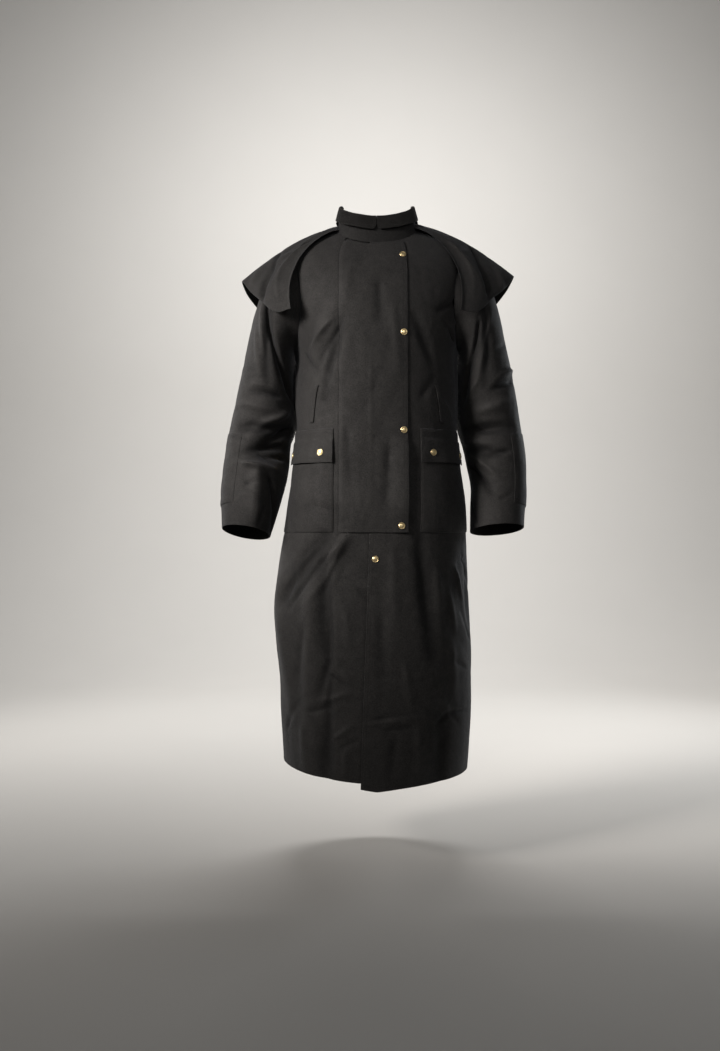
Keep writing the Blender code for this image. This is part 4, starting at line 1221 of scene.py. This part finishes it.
def finish_material(material, tree, inputs, height):
    """The surface shader of a material, with its fine relief, whose height is in metres."""
    relief = {"Strength": 1.0, "Distance": 1.0, "Height": height}
    bump = add_node(tree, "ShaderNodeBump", {}, relief)
    shader = add_node(tree, "ShaderNodeBsdfPrincipled", {}, {**inputs, "Normal": bump})
    output = tree.nodes.new("ShaderNodeOutputMaterial")
    tree.links.new(shader.socket, output.inputs["Surface"])
    return material


def stitches(tree, pitch):
    """1 in the thread of two rows of stitches beside a sewn edge, and 1 in the rows themselves."""
    edge, run = map_of(tree, "edges")
    rows = sum((edge - away).line(STITCH_HALF) for away in STITCH_ROWS)
    thread = ((run * (2 * math.pi / pitch)).sine() * STITCH_GAIN + STITCH_LIFT).within()
    return (rows * thread).within(), rows.within(), edge


@functools.cache
def waxed_cotton():
    """Waxed cotton: plain weave, cloudy wax, pale rubbed ridges and edges, painted shade in troughs
    and on cut edges, and rows of stitches.
    """
    look = colours()
    material, tree, place = new_material("waxed_cotton")
    across, down = map_of(tree, "cloth")
    fold = add_node(tree, "ShaderNodeAttribute", {"attribute_name": "fold"}, output="Fac")
    cloud, grain = noise(tree, place, CLOUD) - 0.5, noise(tree, place, GRAIN) - 0.5
    speck, bend = noise(tree, place, SPECK) - 0.5, noise(tree, place, BEND) - 0.5
    thread, row, edge = stitches(tree, sizes().stitch)
    ridge = (fold / FULL_CREASE).within(-1.0, 1.0)
    rubbed = (1.0 - edge / WAX_EDGE_WIDTH).within() * WAX_EDGE + ridge.within() * WAX_RIDGE
    tone = WAX_TONE + cloud * WAX_CLOUD + grain * WAX_GRAIN + speck * WAX_SPECK
    # Troughs and cut edges are painted darker here as painted shade; ridges and sewn edges are
    # lighter from rubbing.
    tone = (tone + rubbed - (-ridge).within() * WAX_TROUGH_SHADE - row * WAX_ROW).within()
    cloth = mixed(tone, tuple(look.wax_dark), tuple(look.wax_light))
    rough = WAX_ROUGH - cloud * WAX_ROUGH_CLOUD - grain * WAX_ROUGH_GRAIN - ridge * WAX_ROUGH_RIDGE
    pitch = 2 * math.pi / sizes().weave
    height = (across * pitch).sine() * (down * pitch).sine() * WEAVE_RELIEF
    height = height + grain * GRAIN_RELIEF + bend * BEND_RELIEF + speck * SPECK_RELIEF
    height = height - row * ROW_RELIEF + thread * THREAD_RELIEF
    inputs = {
        "Base Color": mixed(thread, cloth, tuple(look.thread)),
        "Roughness": rough.within(*WAX_ROUGH_LIMITS),
        "Specular IOR Level": 0.26,
        "Sheen Weight": 0.10,
        "Sheen Roughness": 0.45,
        "Sheen Tint": (0.85, 0.9, 1.0, 1.0),
    }
    return finish_material(material, tree, inputs, height)


@functools.cache
def ribbed_cotton():
    """Corduroy: rounded ribs down the strip, painted lighter on top and darker between as painted
    highlight and shade, with a short uneven nap.
    """
    look = colours()
    material, tree, place = new_material("ribbed_cotton")
    across, _ = map_of(tree, "cloth")
    cloud, nap = noise(tree, place, COLLAR_CLOUD) - 0.5, noise(tree, place, COLLAR_NAP) - 0.5
    rib = abs((across * (math.pi / sizes().rib)).sine())
    # The ribs' tone paints highlight on their tops and shade in the grooves between them.
    tone = (RIB_TONE + rib * RIB_SHARE + cloud * RIB_CLOUD + nap * RIB_NAP).within()
    height = rib * RIB_RELIEF + nap * NAP_RELIEF + cloud * CLOUD_RELIEF
    inputs = {
        "Base Color": mixed(tone, tuple(look.rib_dark), tuple(look.rib_light)),
        "Roughness": (RIB_ROUGH - tone * RIB_ROUGH_TONE).within(),
        "Specular IOR Level": 0.3,
        "Sheen Weight": 0.15,
        "Sheen Roughness": 0.35,
        "Sheen Tint": (1.0, 0.96, 0.92, 1.0),
    }
    return finish_material(material, tree, inputs, height)


@functools.cache
def brass():
    """Brass: bright where it is touched, a little tarnished in its groove."""
    look = colours()
    material, tree, place = new_material("brass")
    cloud = noise(tree, place, TARNISH)
    dark = add_node(tree, "ShaderNodeAttribute", {"attribute_name": "groove"}, output="Fac")
    tarnish = ((cloud - TARNISH_FROM) * TARNISH_GAIN + dark * TARNISH_GROOVE).within()
    metal = mixed(tarnish, tuple(look.brass), tuple(look.brass_dark))
    rough = BRASS_ROUGH + tarnish * BRASS_ROUGH_TARNISH
    inputs = {"Base Color": metal, "Roughness": rough, "Metallic": 1.0}
    return finish_material(material, tree, inputs, (cloud - 0.5) * BRASS_RELIEF)


# Settings


def number_setting(name, description, default, **kind):
    """A number in the panel."""
    return bpy.props.FloatProperty(name=name, description=description, default=default, **kind)


length_setting = functools.partial(number_setting, unit="LENGTH", precision=4)
power_setting = functools.partial(number_setting, unit="POWER")
share_setting = functools.partial(number_setting, min=0.0, subtype="FACTOR", precision=3)


def colour_setting(name, description, default):
    """A colour in the panel."""
    return bpy.props.FloatVectorProperty(
        name=name, description=description, default=default, subtype="COLOR", size=3, min=0, max=1
    )


class CoatSizes(bpy.types.PropertyGroup):
    """Sizes of the cloth and its details."""

    wall: length_setting("Cloth", "Thickness of a wall of cloth", 0.0013)
    collar_wall: length_setting("Collar", "Thickness of the collar's two layers", 0.0017)
    spacing: length_setting("Spacing", "Distance between the cloth's points", 0.0042)
    crumple: share_setting("Crumple", "Height of the crumples, as a part of their width", 0.009)
    creases: share_setting("Creases", "Height of the creases, as a part of the tables'", 1.4)
    flap_lift: length_setting("Flap lift", "How far the storm flap's edge stands off", 0.009)
    stitch: length_setting("Stitch", "Length of one stitch", 0.0034)
    weave: length_setting("Weave", "Distance between two threads of one kind", 0.0011)
    rib: length_setting("Rib", "Distance between two ribs of the collar's cloth", 0.0026)
    snap_radius: length_setting("Snap radius", "Radius of a snap's cap", 0.0073)
    snap_height: length_setting("Snap height", "Height of a snap's cap", 0.0027)


class CoatColours(bpy.types.PropertyGroup):
    """Colours of the coat's cloth and metal."""

    # wax_dark is also the colour that the painted shade of troughs and cut edges goes towards.
    wax_dark: colour_setting("Wax, dark", "Waxed cotton's clouds", (0.0064, 0.0059, 0.0056))
    wax_light: colour_setting("Wax, light", "Waxed cotton, rubbed", (0.0302, 0.0282, 0.0266))
    thread: colour_setting("Thread", "Sewing thread", (0.010, 0.0092, 0.0085))
    # rib_dark and rib_light hold the painted shade between the ribs and the painted highlight on
    # them, as well as the tones of nap and clouds.
    rib_dark: colour_setting("Ribs, dark", "Between the ribs", (0.0030, 0.0027, 0.0025))
    rib_light: colour_setting("Ribs, light", "On the ribs", (0.0100, 0.0092, 0.0086))
    brass: colour_setting("Brass", "The snaps' brass", (0.95, 0.76, 0.42))
    brass_dark: colour_setting("Brass, dark", "Tarnished brass", (0.42, 0.28, 0.12))


class CoatStage(bpy.types.PropertyGroup):
    """Floor, lights and surroundings."""

    floor: colour_setting("Floor", "Floor and backdrop", (0.58, 0.56, 0.53))
    floor_level: length_setting("Floor level", "Height of the floor", -1.42)
    key: power_setting("Key light", "Power of the main light", 5.9)
    fill: power_setting("Fill light", "Power of the weak light from the front", 0.62)
    side: power_setting("Side lights", "Power of the lights behind each side", 12.0)
    backdrop: power_setting("Backdrop light", "Power of the light on the backdrop", 120.0)
    world: share_setting("Surroundings", "Strength of the even light", 0.11)


def sizes():
    """The coat's sizes, as set in the scene."""
    return bpy.context.scene.coat_sizes


def colours():
    """The coat's colours, as set in the scene."""
    return bpy.context.scene.coat_colours


# Pieces


class COAT_OT_panels(bpy.types.Operator):
    """Makes the two fronts and the back, from neck to hem"""

    bl_idname = "coat.panels"
    bl_label = "Panels"

    def execute(self, context):
        spacing = sizes().spacing
        rows = body_rows(spacing)
        right = -SIDE + armhole_edge(rows, -1, back=False)
        beside = between(right, FLAP_SEAM - SEAM_CELL, round((SIDE + FLAP_SEAM) / spacing))
        under = even(FLAP_SEAM + SEAM_CELL, UNDERLAP, spacing) + 0 * rows
        around = np.concatenate([beside, FLAP_SEAM + 0 * rows, under], axis=1)
        out = seam_dip(around - right) + self.under_flap(around, rows)
        on_body("front_right", around, rows, out, PANEL_SEWN)
        left = SIDE - armhole_edge(rows, 1, back=False)
        edge = left_edge(rows)
        around = between(edge, left, round((SIDE - LEFT_EDGE_TOP) / spacing))
        out = lap(around) + seam_dip(around - left)
        under = ["front_right_cloth"]
        on_body("front_left", around, rows, out, PANEL_SEWN, HEM_DROP_LEFT)
        start = SIDE + armhole_edge(rows, 1, back=True)
        end = 3 * SIDE - armhole_edge(rows, -1, back=True)
        unrolled = between(start, end, round(2 * SIDE / spacing))
        out = seam_dip(unrolled - start, unrolled - end)
        on_body("back", wrapped(unrolled, TURN), rows, out, PANEL_SEWN)
        return {"FINISHED"}

    def under_flap(self, around, rows):
        """The right front lies lower under the flap and the lap, so the flap's seam is flush."""
        beside = smooth((around - FLAP_SEAM) / SEAM_CELL)
        above = smooth((rows - FLAP_BOTTOM) / SEAM_WIDTH - 1)
        lapped = smooth((around - left_edge(rows)) / SEAM_WIDTH + 1)
        return -np.maximum(FLAP_SUNK * beside * above, LAP_SUNK * lapped)


def flap_out(around, nominal):
    """How far the storm flap stands off the right front: its free edge lifts between its snaps."""
    from_seam = smooth((around - FLAP_SEAM) / FLAP_RAMP)
    at_seam = 1 - smooth((around - FLAP_SEAM) / (3 * SEAM_WIDTH))
    over = LAYER + lap(np.maximum(around, UNDERLAP)) * from_seam - FLAP_SUNK * at_seam
    near_edge = smooth(1 + (around - FLAP_EDGE) / FLAP_LIFTS)
    held = sum(np.exp(-(((nominal - level) / FLAP_HOLD) ** 2)) for _, level in FLAP_SNAPS)
    lower = FLAP_CLOSE + (1 - FLAP_CLOSE) * smooth((FLAP_OPEN_FROM - nominal) / FLAP_OPEN_OVER)
    lift = sizes().flap_lift * near_edge * lower * (1 - FLAP_HELD * np.clip(held, 0, 1))
    return over + lift


class COAT_OT_storm_flap(bpy.types.Operator):
    """Makes the wide flap over the front opening, with its snaps and the one below it"""

    bl_idname = "coat.storm_flap"
    bl_label = "Storm flap"

    def execute(self, context):
        spacing = sizes().spacing * FLAP_FINER
        rows = even(FLAP_TOP, FLAP_BOTTOM, spacing)[:, None]
        start = FLAP_SEAM + SEAM_CELL / 2
        around = between(start, FLAP_EDGE + 0 * rows, round((FLAP_EDGE - start) / spacing))
        on_body("storm_flap", around, rows, flap_out(around, rows), ("right", "bottom"))
        for number, place in enumerate(FLAP_SNAPS, 1):
            add_snap(f"snap_flap_{number}", body_point, flap_out, *place)
        add_snap("snap_front", left_point, lambda around, nominal: lap(around), *FRONT_SNAP)
        return {"FINISHED"}


def pocket_out(around, nominal):
    """How far a pocket stands out from its panel: it puffs in its middle, its edges lie down."""
    across = (np.abs(around) - POCKET_INNER) / (POCKET_OUTER - POCKET_INNER)
    down = np.clip((POCKET_TOP - nominal) / (POCKET_TOP - POCKET_BOTTOM), 0, 1)
    return LAYER + POCKET_PUFF * np.sin(np.pi * np.clip(across, 0, 1)) * np.sin(np.pi * down)


def pocket_flap_out(around, nominal):
    """How far a pocket's flap stands out: a layer over the pocket, open along its lower edge."""
    over = LAYER * smooth(1 + (POCKET_TOP - nominal) / POCKET_STEP)
    near_edge = smooth((POCKET_FLAP_OPEN - nominal) / POCKET_FLAP_LIFTS)
    held = sum(np.exp(-(((np.abs(around) - at) / SNAP_REACH) ** 2)) for at, _ in POCKET_SNAPS)
    lift = POCKET_FLAP_LIFT * near_edge * (1 - POCKET_FLAP_HELD * np.clip(held, 0, 1))
    return pocket_out(around, nominal) + over + lift


class COAT_OT_pockets(bpy.types.Operator):
    """Makes the patch pockets, their flaps and snaps, and the welts of the hand-warmer slits"""

    bl_idname = "coat.pockets"
    bl_label = "Pockets"

    def execute(self, context):
        spacing = sizes().spacing * POCKET_FINER
        for side, name in SIDES:
            around = np.sort(side * even(POCKET_INNER, POCKET_OUTER, spacing))[None, :]
            rows = even(POCKET_TOP, POCKET_BOTTOM, spacing)[:, None]
            turned = seam_dip(np.abs(around) - POCKET_INNER, rows - POCKET_BOTTOM)
            out = pocket_out(around, rows) + turned * POCKET_DIP
            under = [f"front_{name}_cloth"]
            on_body(f"pocket_{name}", around, rows, out, ALL_ROUND)
            rows = even(POCKET_FLAP_TOP, POCKET_FLAP_BOTTOM, spacing)[:, None]
            out = pocket_flap_out(around, rows) + seam_dip(rows - POCKET_FLAP_TOP)
            under = [*under, f"pocket_{name}_cloth"]
            on_body(f"pocket_flap_{name}", around, rows, out, ALL_ROUND)
            for number, (at, level) in enumerate(POCKET_SNAPS, 1):
                snap = f"snap_pocket_{name}_{number}"
                add_snap(snap, body_point, pocket_flap_out, side * at, level)
            self.welt(side, name, spacing * WELT_FINER)
        return {"FINISHED"}

    def welt(self, side, name, spacing):
        """The narrow folded band along one edge of a slit, bowed towards the side."""
        part = even(0.0, 1.0, spacing / (WELT_FROM[1] - WELT_TO[1]))[:, None]
        middle = WELT_FROM[0] + (WELT_TO[0] - WELT_FROM[0]) * part**WELT_BOW
        level = WELT_FROM[1] + (WELT_TO[1] - WELT_FROM[1]) * part
        across = even(-WELT_WIDTH / 2, WELT_WIDTH / 2, spacing)[None, :]
        around = side * middle + across
        out = LAYER + WELT_CROWN * np.cos(np.pi * across / WELT_WIDTH) + 0 * around
        on_body(f"welt_{name}", around, level, out, ALL_ROUND)


class COAT_OT_collar(bpy.types.Operator):
    """Makes the collar: its stand, and the ribbed fall rolled over it"""

    bl_idname = "coat.collar"
    bl_label = "Collar"

    def execute(self, context):
        spacing = sizes().spacing * COLLAR_FINER
        around = even(GAP, TURN - GAP, spacing)[None, :]
        part = even(1.0, 0.0, spacing / STAND_FRONT)[:, None]
        points = stand_point(wrapped(around, TURN), part)
        wall = sizes().collar_wall
        # The stand's fold value paints it dark all over: painted shadow of the fall above it.
        sewn_piece(
            "collar_stand", points, STAND_PAINTED_SHADOW, ("bottom",), wall=wall
        )
        around = even(FALL_FRONT, TURN - FALL_FRONT, spacing)[None, :]
        from_end = np.minimum(around, TURN - around) - FALL_FRONT
        corner = 1 - np.clip(from_end / FALL_CORNER, 0, 1)
        roll = math.pi * FALL_ROLL
        length = FALL_DEPTH - FALL_CORNER * (1 - np.sqrt(1 - corner**2))
        part = even(0.0, 1.0, spacing / (roll + FALL_DEPTH) * FALL_FINER)[:, None]
        path = part * (roll + length)
        points = fall_point(wrapped(around, TURN), path)
        puff = FALL_PUFF * crumple(points, COLLAR_SEED) * smooth(path / roll)
        points = points + grid_normals(points, False) * puff[..., None]
        sewn_piece(
            "collar_fall", points, 0.0, ("bottom",), wall=wall,
            slot="ribbed_cotton",
        )
        return {"FINISHED"}


class COAT_OT_cape(bpy.types.Operator):
    """Makes the cape over both shoulders and round the back"""

    bl_idname = "coat.cape"
    bl_label = "Cape"

    def execute(self, context):
        spacing = sizes().spacing
        first = CAPE[0][0] - CAPE_WIDER
        around = even(first, 360.0 - first, math.degrees(spacing / CAPE_REACH))[None, :]
        around = wrapped(around, 360.0)
        part = even(0.0, 1.0, spacing / CAPE_REACH)[:, None]
        around, part = np.broadcast_arrays(around, part)
        points = plain_cape(around, part)
        rise = cape_rise(around, part)
        points = points + grid_normals(points, False) * rise[..., None]
        sewn_piece("cape", points, rise, PANEL_SEWN)
        return {"FINISHED"}


class COAT_OT_sleeves(bpy.types.Operator):
    """Makes the sleeves and the patches on their forearms"""

    bl_idname = "coat.sleeves"
    bl_label = "Sleeves"

    def execute(self, context):
        spacing = sizes().spacing
        for side, name in SIDES:
            count = round(2 * math.pi * SLEEVE_GIRTH / spacing)
            around = (-side * np.arange(count) * 360 / count)[None, :]
            part = even(0.0, 1.0, spacing / SLEEVE_LENGTH)[:, None]
            around, part = np.broadcast_arrays(around, part)
            points = sleeve_point(side, around, part)
            rise = sleeve_rise(side, around, part)
            sewn_piece(f"sleeve_{name}", points, rise, ("top", "bottom"), True)
            self.patch(side, name, spacing * PATCH_FINER)
        return {"FINISHED"}

    def patch(self, side, name, spacing):
        """The patch on a forearm: the sleeve's own surface, moved out by a layer."""

        def surface(around, down):
            return sleeve_point(side, -side * around, -down)

        step = math.degrees(spacing / SLEEVE_GIRTH)
        around = even(PATCH_BACK, PATCH_FRONT, step)
        around = (around if side < 0 else -around[::-1])[None, :]
        part = even(PATCH_FROM, PATCH_TO, spacing / SLEEVE_LENGTH)[:, None]
        around, part = np.broadcast_arrays(around, part)
        along = SLEEVE_LENGTH * np.minimum(part - PATCH_FROM, PATCH_TO - part)
        beside = np.radians(np.minimum(around - around.min(), around.max() - around)) * SLEEVE_GIRTH
        out = PATCH_OUT + seam_dip(along) * PATCH_DIP
        out = out + seam_dip(beside / PATCH_FEATHER) * PATCH_SIDE_DIP
        points = raised(surface, around, -part, out)
        rise = sleeve_rise(side, -side * around, part)
        sewn_piece(f"forearm_patch_{name}", points, rise, ALL_ROUND)


def add_snap(name, surface, out, around, nominal):
    """A snap's cap: its profile turned about the cloth's normal, seated on the cloth."""
    around, nominal = np.array([[around]]), np.array([[nominal]])
    seat = raised(surface, around, nominal, out(around, nominal))[0, 0]
    normal = raised(surface, around, nominal, out(around, nominal) + SNAP_PROBE)[0, 0] - seat
    normal = normal / np.linalg.norm(normal)
    side = np.cross(normal, (0.0, 0.0, 1.0))
    side = side / np.linalg.norm(side)
    up = np.cross(side, normal)
    profile = np.array(SNAP_PROFILE)
    radius, height = profile[1:, 0] * sizes().snap_radius, profile[1:, 1] * sizes().snap_height
    angle = np.arange(SNAP_SIDES) * 2 * np.pi / SNAP_SIDES
    spoke = np.cos(angle)[:, None] * side + np.sin(angle)[:, None] * up
    ring = seat + radius[:, None, None] * spoke + height[:, None, None] * normal
    tips = [seat + normal * sizes().snap_height, seat - normal * SNAP_SINK]
    places = np.concatenate([ring.reshape(-1, 3), tips])
    grid = np.arange(len(radius) * SNAP_SIDES).reshape(len(radius), SNAP_SIDES)
    following = np.roll(grid, -1, axis=1)
    walls = np.stack([grid[:-1], grid[1:], following[1:], following[:-1]], axis=-1).reshape(-1, 4)
    top, base = len(places) - 2, len(places) - 1
    cap = np.stack([np.full(SNAP_SIDES, top), grid[0], following[0]], axis=-1)
    foot = np.stack([np.full(SNAP_SIDES, base), following[-1], grid[-1]], axis=-1)
    mesh = bpy.data.meshes.new(f"{name}_cap")
    mesh.from_pydata(places.tolist(), [], walls.tolist() + cap.tolist() + foot.tolist())
    mesh.shade_smooth()
    groove = np.exp(-(((profile[1:, 0] - SNAP_GROOVE) / SNAP_GROOVE_WIDTH) ** 2))
    groove = groove + SNAP_FOOT_DARK * (profile[1:, 1] < SNAP_FOOT)
    values = np.concatenate([np.repeat(groove, SNAP_SIDES), [0.0, 1.0]]).astype(np.float32)
    mesh.attributes.new("groove", "FLOAT", "POINT").data.foreach_set("value", values)
    made = bpy.data.objects.new(f"{name}_cap", mesh)
    bpy.context.scene.collection.objects.link(made)
    hang(made, brass(), name)


# Stage


def aimed(name, data, place, target):
    """An object that looks from a place to a target."""
    made = bpy.data.objects.new(name, data)
    bpy.context.scene.collection.objects.link(made)
    made.location = place
    towards = Vector(target) - Vector(place)
    made.rotation_euler = towards.to_track_quat("-Z", "Y").to_euler()
    return made


class COAT_OT_stage(bpy.types.Operator):
    """Makes the floor that turns up behind the coat, the lights and the camera"""

    bl_idname = "coat.stage"
    bl_label = "Stage"

    def execute(self, context):
        look = context.scene.coat_stage
        self.backdrop(look)
        for name, (place, target, size, spread, tint) in LIGHTS.items():
            light = bpy.data.lights.new(name, "AREA")
            light.shape, light.size, light.color = "SQUARE", size, tint
            light.spread = math.radians(spread)
            light.energy = getattr(look, name.split("_")[0])
            aimed(name, light, place, target)
        world = bpy.data.worlds.new("surroundings")
        context.scene.world = world
        world.use_nodes = True
        background = world.node_tree.nodes["Background"]
        background.inputs["Color"].default_value = (1.0, 1.0, 1.0, 1.0)
        background.inputs["Strength"].default_value = look.world
        camera = bpy.data.cameras.new("camera")
        camera.sensor_fit = "AUTO"
        camera.sensor_width = SENSOR_WIDTH
        camera.lens = FOCAL_PIXELS * SENSOR_WIDTH / PHOTO_HEIGHT
        place = (CAMERA_X, -CAMERA_AWAY, CAMERA_LEVEL)
        context.scene.camera = aimed("camera", camera, place, (CAMERA_X, 0.0, CAMERA_LEVEL))
        context.scene.view_settings.view_transform = "Standard"
        return {"FINISHED"}

    def backdrop(self, look):
        """A floor that turns up behind the coat: a line, a quarter circle and a line, made wide."""
        turn = np.radians(np.linspace(0, 90, 25))
        back = FLOOR_TURN + FLOOR_RADIUS
        y = np.concatenate([[FLOOR_FRONT], FLOOR_TURN + FLOOR_RADIUS * np.sin(turn), [back]])
        z = np.concatenate([[0.0], FLOOR_RADIUS * (1 - np.cos(turn)), [FLOOR_TOP]])
        z = z + look.floor_level
        x = np.array([-FLOOR_HALF, FLOOR_HALF])
        places = np.stack(np.broadcast_arrays(x[None, :], y[:, None], z[:, None]), axis=-1)
        grid = np.arange(len(y) * 2).reshape(-1, 2)
        faces = np.stack([grid[:-1, 0], grid[:-1, 1], grid[1:, 1], grid[1:, 0]], axis=-1)
        mesh = bpy.data.meshes.new("floor")
        mesh.from_pydata(places.reshape(-1, 3).tolist(), [], faces.tolist())
        mesh.shade_smooth()
        material, tree, place = new_material("floor")
        grain = noise(tree, place, FLOOR_GRAIN)
        base = tuple(look.floor)
        tone = mixed((grain - FLOOR_EVEN).within(), base, tuple(v * FLOOR_SPOT for v in base))
        inputs = {"Base Color": tone, "Roughness": FLOOR_ROUGH}
        finish_material(material, tree, inputs, grain * FLOOR_RELIEF)
        mesh.materials.append(material)
        made = bpy.data.objects.new("floor", mesh)
        bpy.context.scene.collection.objects.link(made)


# Panel and registration


OPERATORS = (
    COAT_OT_panels,
    COAT_OT_storm_flap,
    COAT_OT_pockets,
    COAT_OT_collar,
    COAT_OT_cape,
    COAT_OT_sleeves,
    COAT_OT_stage,
)
GROUPS = {"coat_sizes": CoatSizes, "coat_colours": CoatColours, "coat_stage": CoatStage}


class COAT_PT_panel(bpy.types.Panel):
    """Lists the coat's settings and pieces"""

    bl_idname = "COAT_PT_panel"
    bl_label = "Duster coat"
    bl_space_type = "VIEW_3D"
    bl_region_type = "UI"
    bl_category = "Coat"

    def draw(self, context):
        for group, kind in GROUPS.items():
            box = self.layout.box()
            for name in kind.__annotations__:
                box.prop(getattr(context.scene, group), name)
        for operator in OPERATORS:
            self.layout.operator(operator.bl_idname)


def register():
    for made in (*GROUPS.values(), *OPERATORS, COAT_PT_panel):
        bpy.utils.register_class(made)
    for name, group in GROUPS.items():
        setattr(bpy.types.Scene, name, bpy.props.PointerProperty(type=group))


def unregister():
    for name in GROUPS:
        delattr(bpy.types.Scene, name)
    for made in reversed((*GROUPS.values(), *OPERATORS, COAT_PT_panel)):
        bpy.utils.unregister_class(made)


def clear_startup():
    """Removes the startup scene's own cube, light and camera."""
    for name in ("Cube", "Light", "Camera"):
        found = bpy.data.objects.get(name)
        if found is not None:
            bpy.data.objects.remove(found)


def main():
    clear_startup()
    register()
    for operator in OPERATORS:
        group, name = operator.bl_idname.split(".")
        getattr(getattr(bpy.ops, group), name)()


if __name__ == "__main__":
    main()
